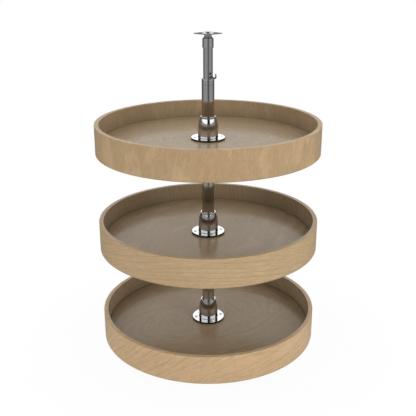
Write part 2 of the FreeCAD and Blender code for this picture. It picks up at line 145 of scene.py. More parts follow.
# Height pin: its hooked wire and its bead.
HOOK_AZIMUTH = math.radians(30.0)
PIN_HEIGHT = high("ferrule") + 5.0 * MM
WIRE_TAIL = 3.0 * MM
HOOK_NECK = 6.5 * MM
HOOK_DIP_REACH = 5.5 * MM
HOOK_DIP = 1.2 * MM
HOOK_REACH = 15.6 * MM
HOOK_HEEL = 0.6 * MM
HOOK_TIP_RETURN = 2.4 * MM
HOOK_TIP_RISE = 6.6 * MM
HOOK_BEND = 4.2 * MM
BEAD_GAP = 0.3 * MM
BEAD_LENGTH = 3.4 * MM
BEAD_EDGE = 1.4 * MM

# Ceiling plate and the pin riveted into it.
DISH_DEPTH = 2.0 * MM
DISH_RIM = 12.5 * MM
DISH_BASE = 7.5 * MM
DISH_UNDER_EDGES = (1.2 * MM, 1.5 * MM)
DISH_UPPER_EDGES = (0.8 * MM, 0.9 * MM)
PLATE_HOLE_CIRCLE = 18.5 * MM
PLATE_HOLE = 2.2 * MM
PLATE_SINK = 3.3 * MM
PIVOT_TIP_EDGE = 1.2 * MM
RIVET_FOOT = 5.0 * MM
RIVET_SHOULDER = 4.6 * MM
RIVET_CROWN = 0.25 * MM
RIVET_CROWN_FLAT = 1.2 * MM
RIVET_EDGE = 0.8 * MM
RIVET_DOME = 6.0 * MM

# Floor plate and its stud.
BASE_HOLE = 2.6 * MM
BASE_SINK = 4.8 * MM
BASE_HOLE_OFFSET = 32.0 * MM
STUD_RADIUS = 6.0 * MM
STUD_RIVET = 4.5 * MM
STUD_TIP_EDGE = 2.0 * MM

# Roundings of small edges, and a rounding that takes all the room its sides leave.
HAIR_EDGE = 0.15 * MM
FINE_EDGE = 0.2 * MM
SMALL_EDGE = 0.3 * MM
SOFT_EDGE = 0.4 * MM
WIDE_EDGE = 0.5 * MM
FULL_EDGE = 1.0

# Gap between pieces that touch, gap of pieces that run on each other, and how far a cutting tool stands out.
SKIN = 0.05 * MM
RUNNING_GAP = 0.08 * MM
OVERSHOOT = 0.2 * MM

# How meshes are made: how far points stand beside a rounding, how near doubles are, the angle of a rounding's
# chord and of an edge that stays sharp, the share of a side that a rounding may take, and counts of chords.
SUPPORT = 0.2 * MM
TINY = 1e-7
CHORD_ANGLE = math.radians(7.5)
SHARP_ANGLE = math.radians(32.0)
SHARED_SIDE = 0.49
OWN_SIDE = 0.98
HOLE_STEPS = 48
BEAD_STEPS = 64
RIVET_STEPS = 96
PLATE_STEPS = 384
FILLET_STEPS = 8


# ------------------------------------------------------------------ settings that a user would change
def srgb(red, green, blue):
    """Scene-linear colour for a display colour of 0 to 255."""
    def linear(level):
        share = level / 255
        return share / 12.92 if share <= 0.04045 else ((share + 0.055) / 1.055) ** 2.4
    return linear(red), linear(green), linear(blue)


def length(name, description, millimetres):
    """A length property, in metres, with its default given in millimetres."""
    return FloatProperty(name=name, description=description, default=millimetres * MM, min=0.0,
                         unit="LENGTH", subtype="DISTANCE", precision=5)


def colour(name, description, value):
    """A colour property."""
    return FloatVectorProperty(name=name, description=description, default=value, min=0.0, max=1.0,
                               size=3, subtype="COLOR")


def amount(name, description, value, top=10.0):
    """A plain number property."""
    return FloatProperty(name=name, description=description, default=value, min=0.0, max=top)


class TraySizes(PropertyGroup):
    """Shape of the bent hoops and their floor panels."""
    wall: length("Hoop wall", "Thickness of the bent hoop", 9.5)
    lip: length("Lip rounding", "Rounding along the hoop's upper edges", 1.2)
    foot: length("Foot rounding", "Rounding along the hoop's lower edges", 1.2)
    groove: length("Groove depth", "How far the floor panel is let into the hoop", 4.0)
    steps: IntProperty(name="Steps", description="Chords round a tray", default=288, min=24, max=720)


class HubSizes(PropertyGroup):
    """Shape of the hubs."""
    flange: length("Flange thickness", "Thickness of the hub's flange", 3.9)
    flange_edge: length("Flange edge", "Rounding along the flange's upper edge", 0.9)
    fillet: length("Fillet", "Hollow corner between flange and bell", 1.0)
    shoulder: length("Shoulder", "Height over which the bell curves in to its crown", 25.0)
    ring_edge: length("Ring edge", "Rounding round the crown ring", 1.8)
    collar_edge: length("Collar edge", "Rounding along the stop collars", 0.8)
    screws: IntProperty(name="Screws", description="Screws in each flange", default=4, min=0, max=12)
    steps: IntProperty(name="Steps", description="Chords round a hub", default=160, min=24, max=512)


class PostSizes(PropertyGroup):
    """Shape of the post, its height pin and its plates."""
    ferrule_edge: length("Ferrule edge", "Rounding round the ferrule's lip", 2.2)
    groove_drop: length("Groove drop", "From the ferrule's top down to the tube's rolled groove", 11.7)
    cap_edge: length("Cap edge", "Rounding round the cap's shoulder", 0.75)
    hole_pitch: length("Hole pitch", "Distance between the cross holes of the upper tube", 6.35)
    wire: length("Wire diameter", "Diameter of the height pin's wire", 3.2)
    bead: length("Bead diameter", "Diameter of the height pin's bead", 9.4)
    plate_corner: length("Ceiling plate corner", "Rounding of the ceiling plate's corners", 1.5)
    base_corner: length("Floor plate corner", "Rounding of the floor plate's corners", 9.0)
    plate_edge: length("Plate edge", "Softened edge of the stamped plates", 0.25)
    steps: IntProperty(name="Steps", description="Chords round the post", default=192, min=24, max=512)


class Finishes(PropertyGroup):
    """Colours of the materials."""
    top_wood: colour("Top veneer", "Mean colour of the top hoop's veneer", srgb(180, 153, 118))
    middle_wood: colour("Middle veneer", "Mean colour of the middle hoop's veneer", srgb(188, 162, 127))
    bottom_wood: colour("Bottom veneer", "Mean colour of the bottom hoop's veneer", srgb(203, 174, 137))
    # Painted shade: how dark the inside of each hoop is painted against its outside.
    inside_tone: FloatVectorProperty(
        name="Inside tone", description="Veneer inside the bottom, middle and top hoops, against the outside",
        default=(0.61, 0.62, 0.84), min=0.0, max=1.0, size=3)
    # Painted light and shade on each hoop's upper edge: below 1 painted shade, above 1 painted sheen.
    rim_tone: FloatVectorProperty(
        name="Rim tone", description="Upper edges of the bottom, middle and top hoops, against the outside",
        default=(0.89, 0.96, 1.10), min=0.0, max=2.0, size=3)
    # Painted shade: how dark each floor panel is painted against its hoop's outside.
    panel_tone: FloatVectorProperty(
        name="Panel tone", description="Floors of the bottom, middle and top trays, against the outside",
        default=(0.63, 0.84, 0.85), min=0.0, max=1.0, size=3)
    chrome: colour("Chrome", "Reflection of the plated pieces", (0.575, 0.578, 0.585))
    steel: colour("Steel", "Reflection of the turned and stamped steel", (0.52, 0.52, 0.525))
    plastic: colour("Plastic", "Natural moulded bushes", (0.66, 0.65, 0.61))
    satin: amount("Satin", "Weight of the clear lacquer over the veneer", 0.36, 1.0)


class StudioSettings(PropertyGroup):
    """Camera and light."""
    lens: amount("Lens", "Focal length of the camera, in mm", 60.12, 300.0)
    distance: length("Camera distance", "From the post's axis to the camera, level", 1380.4)
    height: length("Camera height", "Height of the camera above the floor", 796.1)
    tilt: FloatProperty(name="Camera tilt", description="How far the camera looks down",
                        default=math.radians(19.746), subtype="ANGLE", unit="ROTATION")
    roll: FloatProperty(name="Camera roll", description="How far the camera leans to its right",
                        default=math.radians(0.086), subtype="ANGLE", unit="ROTATION")
    sideways: length("Camera offset", "From the post's axis to the camera, to the left", 0.4)
    ambient: amount("Ambient", "Strength of the even light from all round", 0.52)
    left_light: amount("Left softbox", "Radiance of the softbox at the front left", 2.7)
    right_light: amount("Right softbox", "Radiance of the softbox at the front right", 4.0)
    back_light: amount("Back softboxes", "Radiance of the softboxes behind", 1.2)
    overhead_light: amount("Overhead", "Radiance of the overhead softbox", 1.1)
    box_mirrored: amount("Softboxes in metal", "Radiance that metal shows of the softboxes", 1.65)
    ceiling_mirrored: amount("Ceiling in metal", "Radiance that metal shows overhead", 0.10)
    shadow: amount("Floor shadow", "How much of the object's shadow the camera sees on the floor", 0.035, 1.0)


# ------------------------------------------------------------------ node graphs
class Value:
    """One socket of a node graph; Python's operators on it add Math nodes."""

    def __init__(self, graph, socket):
        self.graph = graph
        self.socket = socket

    def math(self, operation, *terms):
        return self.graph.node("ShaderNodeMath", {"operation": operation}, dict(enumerate(terms)))

    def __add__(self, other):
        return self.math("ADD", self, other)

    def __radd__(self, other):
        return self.math("ADD", other, self)

    def __sub__(self, other):
        return self.math("SUBTRACT", self, other)

    def __rsub__(self, other):
        return self.math("SUBTRACT", other, self)

    def __mul__(self, other):
        return self.math("MULTIPLY", self, other)

    def __rmul__(self, other):
        return self.math("MULTIPLY", other, self)

    def __truediv__(self, other):
        return self.math("DIVIDE", self, other)

    def __rtruediv__(self, other):
        return self.math("DIVIDE", other, self)

    def __pow__(self, other):
        return self.math("POWER", self, other)

    def sine(self):
        return self.math("SINE", self)

    def size(self):
        return self.math("ABSOLUTE", self)

    def at_least(self, other):
        return self.math("MAXIMUM", self, other)

    def at_most(self, other):
        return self.math("MINIMUM", self, other)

    def eased(self, start, end):
        """0 up to start, 1 from end, with a smooth step between."""
        return self.graph.node("ShaderNodeMapRange", {"interpolation_type": "SMOOTHSTEP", "clamp": True},
                               {"Value": self, "From Min": start, "From Max": end})


class Graph:
    """Adds nodes to one tree: the settings of a node come first, then its sockets."""

    def __init__(self, tree):
        self.tree = tree

    def node(self, kind, settings=None, sockets=None, output=0):
        made = self.tree.nodes.new(kind)
        for name, setting in (settings or {}).items():
            setattr(made, name, setting)
        for key, value in (sockets or {}).items():
            self.feed(made.inputs[key], value)
        return Value(self, made.outputs[output])

    def feed(self, socket, value):
        if isinstance(value, Value):
            self.tree.links.new(value.socket, socket)
        else:
            socket.default_value = value

    def vector(self, x, y, z=0.0):
        return self.node("ShaderNodeCombineXYZ", None, {0: x, 1: y, 2: z})

    def noise(self, vector, detail=2.0, roughness=0.5):
        """Soft noise from 0 to 1 with one wave for each unit of the vector."""
        return self.node("ShaderNodeTexNoise", {"noise_dimensions": "3D"},
                         {"Vector": vector, "Scale": 1.0, "Detail": detail, "Roughness": roughness})

    def tint(self, factor, first, second):
        """Colour between two colours."""
        return self.node("ShaderNodeMix", {"data_type": "RGBA"}, {0: factor, 6: first, 7: second}, output=2)

    def darkened(self, base, factor, cast):
        """Colour multiplied by a cast, as far as the factor says."""
        return self.node("ShaderNodeMix", {"data_type": "RGBA", "blend_type": "MULTIPLY"},
                         {0: factor, 6: base, 7: cast}, output=2)


class Finish(Graph):
    """The node graph of one material, ended by a Principled shader."""

    def __init__(self, name):
        self.material = bpy.data.materials.new(name)
        self.material.use_nodes = True
        super().__init__(self.material.node_tree)
        self.shader = self.tree.nodes["Principled BSDF"]
        place = self.node("ShaderNodeTexCoord", output="Object")
        self.place = place
        axes = self.node("ShaderNodeSeparateXYZ", None, {0: place}).socket.node
        self.x, self.y, self.z = (Value(self, axes.outputs[index]) for index in range(3))
        self.radius = (self.x * self.x + self.y * self.y) ** 0.5

    def even(self, period, detail=2.0, roughness=0.5):
        """Noise that is alike in every direction, with waves of one period in metres."""
        sockets = {0: self.place, "Scale": 1 / period}
        scaled = self.node("ShaderNodeVectorMath", {"operation": "SCALE"}, sockets)
        return self.noise(scaled, detail, roughness)

    def azimuth(self):
        """Angle round the post, zero at the front and turning over at the back."""
        return self.node("ShaderNodeMath", {"operation": "ARCTAN2"}, {0: self.x, 1: 0.0 - self.y})

    def relief(self, height, depth):
        """Bump of a height from 0 to 1, at its depth in metres."""
        bump = self.node("ShaderNodeBump", None, {"Strength": 1.0, "Distance": depth, "Height": height})
        self.feed(self.shader.inputs["Normal"], bump)

    def done(self, **sockets):
        """Feeds the shader's sockets, named in lower case with low lines, and gives the material."""
        for name, value in sockets.items():
            self.feed(self.shader.inputs[SHADER_SOCKETS[name]], value)
        return self.material


SHADER_SOCKETS = {
    "base_colour": "Base Color",
    "metallic": "Metallic",
    "roughness": "Roughness",
    "coat": "Coat Weight",
    "coat_roughness": "Coat Roughness",
    "specular": "Specular IOR Level",
}


def opaque(rgb):
    """A colour with its alpha."""
    return (*rgb, 1.0)


def shaded(rgb, share):
    """A colour made darker or lighter by one share."""
    return tuple(min(level * share, 1.0) for level in rgb)


# ------------------------------------------------------------------ finishes
BLACK = (0.0, 0.0, 0.0, 1.0)
WHITE = (1.0, 1.0, 1.0, 1.0)

# Figures of sliced veneer. The lengths are in metres and go across, then along the fibres: how far the fibres
# drift, the periods of that drift, of the streaks and of the patches, and the pitch of the growth lines. The
# lines' wander is in pitches, and their sharpness an exponent. The rest are weights of the marks in the tone.
FLAME = {
    "drift": 70 * MM, "drift_periods": (100 * MM, 110 * MM), "streak_periods": (9 * MM, 90 * MM),
    "patch_periods": (26 * MM, 85 * MM), "line_pitch": 13 * MM, "line_wander": 5.0, "line_sharp": 8.0,
    "streak": 0.14, "patch": 0.3, "flame": 0.34, "fleck": 1.2, "line": 0.08,
}
LEVEL = {
    "drift": 14 * MM, "drift_periods": (60 * MM, 170 * MM), "streak_periods": (6 * MM, 160 * MM),
    "patch_periods": (20 * MM, 110 * MM), "line_pitch": 8.5 * MM, "line_wander": 4.0, "line_sharp": 8.0,
    "streak": 0.24, "patch": 0.25, "flame": 0.05, "fleck": 1.3, "line": 0.46,
}
WAVY = {
    "drift": 32 * MM, "drift_periods": (70 * MM, 150 * MM), "streak_periods": (8 * MM, 150 * MM),
    "patch_periods": (30 * MM, 120 * MM), "line_pitch": 14 * MM, "line_wander": 5.0, "line_sharp": 10.0,
    "streak": 0.26, "patch": 0.3, "flame": 0.08, "fleck": 1.4, "line": 0.5,
}
# Periods of the marks that every figure has, and the weights of the fibres and pores.
WANDER_PERIODS = (55 * MM, 400 * MM)
FLECK_PERIODS = (2.6 * MM, 11 * MM)
FIBRE_PERIODS = (0.9 * MM, 26 * MM)
PORE_PERIODS = (0.45 * MM, 5.5 * MM)
FIBRE_WEIGHT = 1.1
PORE_WEIGHT = 0.14

# Slope of the fibres outside and inside, in degrees, how far they bow down towards the sides, seed and figure
# of each hoop's veneer.
HOOP_GRAIN = {
    "top": (78.0, 84.0, 0.0, 11.0, FLAME),
    "middle": (0.0, 82.0, 70 * MM, 23.0, LEVEL),
    "bottom": (26.0, 50.0, 100 * MM, 37.0, WAVY),
}
# Slope of the fibres, in degrees, seed and figure of each floor panel's veneer, and the middle and flatness
# of its growth rings.
PANEL_GRAIN = {
    "top": (8.0, 41.0, {**LEVEL, "line": 0.3, "fleck": 2.0}),
    "middle": (55.0, 59.0, FLAME),
    "bottom": (32.0, 71.0, {**WAVY, "line": 0.4}),
}
LEAF_ACROSS = 12 * MM
LEAF_ALONG = -30 * MM
LEAF_FLATNESS = 0.22

# Lightest and darkest fibres against the mean colour, the depth of the open fibre, the colours that the
# veneer leans to in clouds everywhere, the hue of the painted shade inside the hoops and on the panels, and
# the hue of the painted light and shade on the hoops' upper edges.
LIGHT_FIBRE = 1.17
DARK_FIBRE = (0.80, 0.775, 0.735)
FIBRE_DEPTH = 0.035 * MM
CLOUD_PERIOD = 48 * MM
PINK_CAST = (1.01, 0.991, 0.996)
YELLOW_CAST = (0.994, 1.004, 0.986)
INSIDE_SHADE_CAST = (1.0, 1.055, 1.12)
RIM_LIGHT_CAST = (0.98, 1.0, 0.98)

# Shares of the lip's rounding between which two leaves meet, and how far the inner leaf's figure is shifted.
SEAM = (0.3, 0.7)
LEAF_SHIFT = 0.37
# Painted shade on a tray, with its extent and strength: low down inside the hoop near the floor panel, along
# the hoop's foot, and on the panel over a wide and a narrow margin along the hoop.
CORNER_SPAN = (-6 * MM, 26 * MM)
CORNER_SHADE_TONE = 0.55
CORNER_SHADE = 0.38
FOOT_SPAN = (0.8 * MM, 2.6 * MM)
FOOT_SHADE = 0.22
WIDE_MARGIN = 55 * MM
WIDE_SHADE = 0.16
NARROW_MARGIN = 9 * MM
NARROW_SHADE = 0.22


def grain(finish, along, across, seed, figure):
    """Tone from 0 to 1, fibre and pores of sliced veneer whose fibres run along one direction."""
    period_across, period_along = figure["drift_periods"]
    drift = finish.noise(finish.vector(along / period_along, across / period_across, seed))
    flow = across + (drift - 0.5) * figure["drift"]

    def marks(periods, layer, **texture):
        """Noise that follows the drifting fibres; layer sets it apart from the other marks."""
        return finish.noise(finish.vector(flow / periods[0], along / periods[1], seed + layer), **texture)

    streak = marks(figure["streak_periods"], 3.1, detail=4.0, roughness=0.62)
    patch = marks(figure["patch_periods"], 7.7)
    spread = marks(WANDER_PERIODS, 1.9) * figure["line_wander"]
    fleck = marks(FLECK_PERIODS, 2.4, detail=3.0, roughness=0.7)
    fibre = marks(FIBRE_PERIODS, 5.3, detail=3.0)
    pore = marks(PORE_PERIODS, 9.2, detail=1.0).eased(0.66, 0.76)
    wave = (flow / figure["line_pitch"] + spread) * math.tau
    line = (wave.sine() * 0.5 + 0.5) ** figure["line_sharp"]
    line = line * patch.eased(0.34, 0.56) * (fleck.eased(0.3, 0.6) * 0.6 + 0.4)
    tone = (
        0.5
        + (streak.eased(0.25, 0.75) - 0.5) * figure["streak"]
        + (patch - 0.5) * figure["patch"]
        + (fibre - 0.5) * FIBRE_WEIGHT
        + (fleck - 0.5) * figure["fleck"]
        + patch.eased(0.55, 0.66) * figure["flame"]
        - line * figure["line"]
        - pore * PORE_WEIGHT
    )
    return tone, fibre, pore


def lacquered(finish, tone, fibre, pore, rgb):
    """Colour and roughness of veneer with its open fibre under a satin lacquer."""
    light = opaque(shaded(rgb, LIGHT_FIBRE))
    dark = opaque([level * share for level, share in zip(rgb, DARK_FIBRE)])
    finish.relief(fibre * 0.55 - pore * 0.45, FIBRE_DEPTH)
    base = finish.tint(tone.at_least(0.0).at_most(1.0), dark, light)
    cloud = finish.even(CLOUD_PERIOD).eased(0.38, 0.62)
    cast = finish.tint(cloud, opaque(PINK_CAST), opaque(YELLOW_CAST))
    return finish.darkened(base, 1.0, cast), 0.40 + fibre * 0.12 + pore * 0.06


def hoop_finish(tray, rgb):
    """Veneer of one hoop, whose fibres follow the hoop, with painted shade inside it, low down near the panel
    and along its foot, and painted light and shade on its upper edge.
    """
    looks = bpy.context.scene.carousel_finishes
    sizes = bpy.context.scene.carousel_tray
    finish = Finish(f"{tray}_hoop_veneer")
    outside, inside, bow, seed, figure = HOOP_GRAIN[tray]
    foot_height = low(f"{tray}_band")
    outer = reach(f"{tray}_band")
    inner = outer - sizes.wall
    near, far = (sizes.lip * share for share in SEAM)
    face = finish.radius.eased(outer - far, outer - near)
    bore = 1.0 - finish.radius.eased(inner + near, inner + far)
    turn = finish.azimuth()
    arc = turn * outer + (1.0 - face) * LEAF_SHIFT
    height = finish.z - foot_height + (outer - finish.radius)
    level = height + (1.0 - turn.math("COSINE", turn)) * bow
    slope = bore * math.radians(inside - outside) + math.radians(outside)
    lean, climb = slope.math("COSINE", slope), slope.sine()
    tone, fibre, pore = grain(finish, arc * lean + level * climb, level * lean - arc * climb, seed, figure)
    base, rough = lacquered(finish, tone, fibre, pore, rgb)
    # Colour of the painted shade inside the hoop.
    dim = [cast * looks.inside_tone[TRAYS.index(tray)] for cast in INSIDE_SHADE_CAST]
    # Colour of the painted light and shade on the hoop's upper edge: darker for shade, lighter for sheen.
    rim = [cast * looks.rim_tone[TRAYS.index(tray)] for cast in RIM_LIGHT_CAST]
    # Painted shade low inside the hoop, near the floor panel, darker still than the rest of the inside.
    corner = 1.0 - (finish.z - high(f"{tray}_floor")).eased(*CORNER_SPAN)
    inside_shade_colour = finish.tint(corner * CORNER_SHADE, opaque(dim), opaque(shaded(dim, CORNER_SHADE_TONE)))
    # Painted shade: the inside of the hoop is multiplied darker.
    base = finish.darkened(base, bore, inside_shade_colour)
    # Painted light and shade on the upper edge, between the outer and inner faces.
    base = finish.darkened(base, (1.0 - face - bore).at_least(0.0), opaque(rim))
    # Painted shade along the hoop's foot, whose rounding faces down.
    foot = 1.0 - (finish.z - foot_height).eased(*FOOT_SPAN)
    base = finish.darkened(base, foot * FOOT_SHADE, BLACK)
    return finish.done(base_colour=base, roughness=rough, coat=looks.satin, coat_roughness=0.2, specular=0.1)


def panel_finish(tray, rgb):
    """Veneer of one floor panel, with growth rings round the middle of the leaf; painted shade darkens it all
    over and more along the hoop.
    """
    looks = bpy.context.scene.carousel_finishes
    sizes = bpy.context.scene.carousel_tray
    finish = Finish(f"{tray}_panel_veneer")
    degrees, seed, figure = PANEL_GRAIN[tray]
    slope = math.radians(degrees)
    along = finish.x * math.cos(slope) + finish.y * math.sin(slope)
    across = finish.y * math.cos(slope) - finish.x * math.sin(slope)
    aside, ahead = across - LEAF_ACROSS, along - LEAF_ALONG
    leaf = (aside * aside + ahead * ahead * LEAF_FLATNESS) ** 0.5
    tone, fibre, pore = grain(finish, along, leaf, seed, figure)
    # Painted shade: the panel's colour is made darker and given the hue of the shaded inside.
    rgb = [level * cast * looks.panel_tone[TRAYS.index(tray)] for level, cast in zip(rgb, INSIDE_SHADE_CAST)]
    base, rough = lacquered(finish, tone, fibre, pore, rgb)
    wall = reach(f"{tray}_band") - sizes.wall
    # Painted shade on the panel along the hoop, over a wide and a narrow margin.
    wide = finish.radius.eased(wall - WIDE_MARGIN, wall) * WIDE_SHADE
    narrow = finish.radius.eased(wall - NARROW_MARGIN, wall) * NARROW_SHADE
    base = finish.darkened(base, wide + narrow, BLACK)
    return finish.done(base_colour=base, roughness=rough, coat=looks.satin, coat_roughness=0.18, specular=0.1)


def plated_finish(name, rgb, rough, wipe, shade_from=None):
    """Bright plating with faint wipe marks; wipe is how fast they change round and along the post.

    Beyond the radius given last, the colour is painted dark: painted shade along the flange's edge.
    """
    finish = Finish(name)
    marks = finish.noise(finish.vector(finish.azimuth() * wipe[0], finish.z * wipe[1], 4.0), detail=3.0)
    haze = finish.even(22 * MM, detail=3.0, roughness=0.6)
    peel = finish.even(3.5 * MM, detail=1.0)
    finish.relief(peel * 0.6 + marks * 0.4, 0.0007 * MM)
    base = finish.tint(haze.eased(0.3, 0.7), opaque(shaded(rgb, 0.965)), opaque(shaded(rgb, 1.03)))
    if shade_from:
        # Painted shade: a dark ring along the flange's edge.
        edge = finish.radius.eased(shade_from, shade_from + 0.4 * MM)
        base = finish.tint(edge, base, opaque(shaded(rgb, 0.12)))
    roughness = rough + haze.eased(0.45, 0.75) * 0.02 + marks * 0.012
    return finish.done(base_colour=base, metallic=1.0, roughness=roughness)


def turned_finish(name, rgb, rough):
    """Steel with the fine rings that a lathe leaves."""
    finish = Finish(name)
    rings = finish.noise(finish.vector(finish.radius / (0.35 * MM), finish.z / (0.35 * MM), 2.0), detail=2.0)
    haze = finish.even(15 * MM, detail=3.0)
    finish.relief(rings, 0.012 * MM)
    base = finish.tint(haze, opaque(shaded(rgb, 0.86)), opaque(shaded(rgb, 1.08)))
    return finish.done(base_colour=base, metallic=1.0, roughness=rough + rings * 0.1 + haze * 0.06)


def stamped_finish(name, rgb, rough):
    """Plated sheet steel with straight rolling marks."""
    finish = Finish(name)
    place = finish.vector(finish.x / (0.4 * MM), finish.y / (18 * MM), finish.z / (4 * MM))
    marks = finish.noise(place, detail=2.0)
    haze = finish.even(12 * MM, detail=3.0, roughness=0.6)
    finish.relief(marks, 0.0002 * MM)
    base = finish.tint(haze, opaque(shaded(rgb, 0.9)), opaque(shaded(rgb, 1.06)))
    return finish.done(base_colour=base, metallic=1.0, roughness=rough + marks * 0.012 + haze * 0.01)


def plastic_finish(name, rgb):
    """Moulded plastic with a fine matt skin."""
    finish = Finish(name)
    skin = finish.even(0.8 * MM, detail=2.0)
    cloud = finish.even(30 * MM, detail=2.0)
    finish.relief(skin, 0.02 * MM)
    base = finish.tint(cloud, opaque(shaded(rgb, 0.94)), opaque(shaded(rgb, 1.04)))
    return finish.done(base_colour=base, roughness=0.42 + skin * 0.12, specular=0.45)


# How fast the wipe marks change, round and along the post, on polished pieces and on drawn tubes, and the
# width of the ring of painted shade at the flange's edge.
POLISHED = (2.0, 180.0)
DRAWN = (45.0, 9.0)
SHADE_RING = 0.6 * MM


def finish_for(kind):
    """The material of one kind, made when it is first asked for."""
    looks = bpy.context.scene.carousel_finishes
    made = bpy.data.materials.get(kind)
    if made:
        return made
    if kind.endswith("_hoop_veneer") or kind.endswith("_panel_veneer"):
        tray, piece = kind.split("_")[:2]
        rgb = tuple(getattr(looks, f"{tray}_wood"))
        return (hoop_finish if piece == "hoop" else panel_finish)(tray, rgb)
    chrome, steel = tuple(looks.chrome), tuple(looks.steel)
    # Where the painted shade on the flange's edge begins.
    shade_from = reach("top_hub_bell") - SHADE_RING
    makers = {
        "bell_chrome": lambda: plated_finish(kind, chrome, 0.012, POLISHED, shade_from),
        "hub_chrome": lambda: plated_finish(kind, chrome, 0.012, POLISHED),
        "tube_chrome": lambda: plated_finish(kind, chrome, 0.065, DRAWN),
        "pin_chrome": lambda: plated_finish(kind, shaded(chrome, 0.6), 0.03, POLISHED),
        "turned_steel": lambda: turned_finish(kind, steel, 0.26),
        "screw_steel": lambda: turned_finish(kind, shaded(chrome, 0.55), 0.16),
        "rivet_steel": lambda: turned_finish(kind, shaded(chrome, 1.35), 0.32),
        "stamped_steel": lambda: stamped_finish(kind, shaded(chrome, 0.98), 0.015),
        "bush_plastic": lambda: plastic_finish(kind, tuple(looks.plastic)),
        "neck_plastic": lambda: plastic_finish(kind, shaded(looks.plastic, 0.32)),
    }
    return makers[kind]()


# ------------------------------------------------------------------ meshes
def rounded(corners):
    """Closed outline through (x, y[, rounding]) corners, each rounding cut into short chords.

    A point stands just outside each end of a rounding, so that the flat side stays flat when shaded.
    """
    count = len(corners)
    points = [Vector(corner[:2]) for corner in corners]
    radii = [corner[2] if len(corner) > 2 else 0.0 for corner in corners]
    outline = []
    for index, here in enumerate(points):
        if not radii[index]:
            outline.append(here)
            continue
        sides = []
        for neighbour in (index - 1, (index + 1) % count):
            side = points[neighbour] - here
            share = SHARED_SIDE if radii[neighbour] else OWN_SIDE
            sides.append((side.normalized(), side.length * share))
        (back, back_room), (ahead, ahead_room) = sides
        half = back.angle(ahead) / 2
        inset = min(radii[index] / math.tan(half), back_room, ahead_room)
        radius = inset * math.tan(half)
        centre = here + (back + ahead).normalized() * radius / math.sin(half)
        sweep = math.pi - 2 * half
        turn = -math.copysign(sweep, back.cross(ahead))
        chords = max(4, math.ceil(sweep / CHORD_ANGLE))
        start = here + back * inset - centre
        outline.append(here + back * min(inset + SUPPORT, back_room))
        for step in range(chords + 1):
            outline.append(centre + Matrix.Rotation(turn * step / chords, 2) @ start)
        outline.append(here + ahead * min(inset + SUPPORT, ahead_room))
    return outline


def tidy(mesh):
    """Merges doubles, turns the faces outwards and marks the sharp edges."""
    work = bmesh.new()
    work.from_mesh(mesh)
    bmesh.ops.remove_doubles(work, verts=work.verts, dist=TINY)
    bmesh.ops.dissolve_degenerate(work, edges=work.edges, dist=TINY)
    bmesh.ops.recalc_face_normals(work, faces=work.faces)
    for face in work.faces:
        face.smooth = True
    for edge in work.edges:
        edge.smooth = edge.is_manifold and edge.calc_face_angle() < SHARP_ANGLE
    work.to_mesh(mesh)
    work.free()
    return mesh


def made_mesh(name, points, faces):
    """Mesh with its faces outwards."""
    mesh = bpy.data.meshes.new(name)
    mesh.from_pydata([tuple(point) for point in points], [], faces)
    return tidy(mesh)


def turned(name, corners, steps, spread=None, spread_from=0.0):
    """Solid turned about the post's axis from (radius, height[, rounding]) corners.

    spread(angle) moves the points beyond the radius spread_from further out, for outlines that aren't round.
    """
    points, rings = [], []
    angles = [math.tau * step / steps for step in range(steps)]
    for radius, height in rounded(corners):
        first = len(points)
        if radius < TINY:
            points.append((0.0, 0.0, height))
        else:
            for angle in angles:
                out = radius + (spread(angle) if spread and radius > spread_from else 0.0)
                points.append((out * math.cos(angle), out * math.sin(angle), height))
        rings.append(range(first, len(points)))
    faces = []
    for ring, following in zip(rings, rings[1:] + rings[:1]):
        if len(ring) == len(following) == 1:
            continue
        for step in range(steps):
            after = (step + 1) % steps
            quad = [near[index % len(near)] for near, index in
                    ((ring, step), (ring, after), (following, after), (following, step))]
            faces.append(list(dict.fromkeys(quad)))
    return made_mesh(name, points, faces)


def square_spread(side, corner, turn):
    """How far a rounded square, turned by an angle, stands beyond its half side at each angle."""
    half = side / 2
    hub = Vector((half - corner, half - corner))

    def spread(angle):
        quarter = (angle - turn) % (math.pi / 2)
        folded = min(quarter, math.pi / 2 - quarter)
        way = Vector((math.cos(folded), math.sin(folded)))
        straight = half / way.x
        if straight * way.y <= hub.y:
            return straight - half
        inner = way.dot(hub)
        return inner + math.sqrt(inner * inner - hub.length_squared + corner * corner) - half

    return spread


def outward(azimuth):
    """Level direction at an azimuth."""
    return Vector((math.sin(azimuth), -math.cos(azimuth), 0.0))


def moved(mesh, matrix):
    """The mesh, set in place by a matrix."""
    mesh.transform(matrix)
    return mesh


def laid_along(direction, place):
    """Matrix that lays the upright axis along a direction, at a place."""
    return Matrix.Translation(place) @ direction.to_track_quat("Z", "Y").to_matrix().to_4x4()


def joined(name, meshes):
    """One mesh of several separate ones."""
    work = bmesh.new()
    for mesh in meshes:
        work.from_mesh(mesh)
        bpy.data.meshes.remove(mesh)
    result = bpy.data.meshes.new(name)
    work.to_mesh(result)
    work.free()
    return result


def evaluated(name, mesh, prepare):
    """Plain mesh of a temporary object, after prepare(object) has given it its modifier."""
    holder = bpy.data.objects.new(name, mesh)
    bpy.context.scene.collection.objects.link(holder)
    prepare(holder)
    graph = bpy.context.evaluated_depsgraph_get()
    result = bpy.data.meshes.new_from_object(holder.evaluated_get(graph), depsgraph=graph)
    bpy.data.objects.remove(holder)
    result.name = name
    return tidy(result)


def cut(mesh, tools):
    """The mesh with the tool meshes cut out of it."""
    tool = bpy.data.objects.new("tool", tidy(joined("tool", tools)))
    bpy.context.scene.collection.objects.link(tool)
    tool.hide_render = True

    def prepare(holder):
        modifier = holder.modifiers.new("cut", "BOOLEAN")
        modifier.operation = "DIFFERENCE"
        modifier.solver = "EXACT"
        modifier.object = tool

    result = evaluated(mesh.name, mesh, prepare)
    bpy.data.objects.remove(tool)
    return result


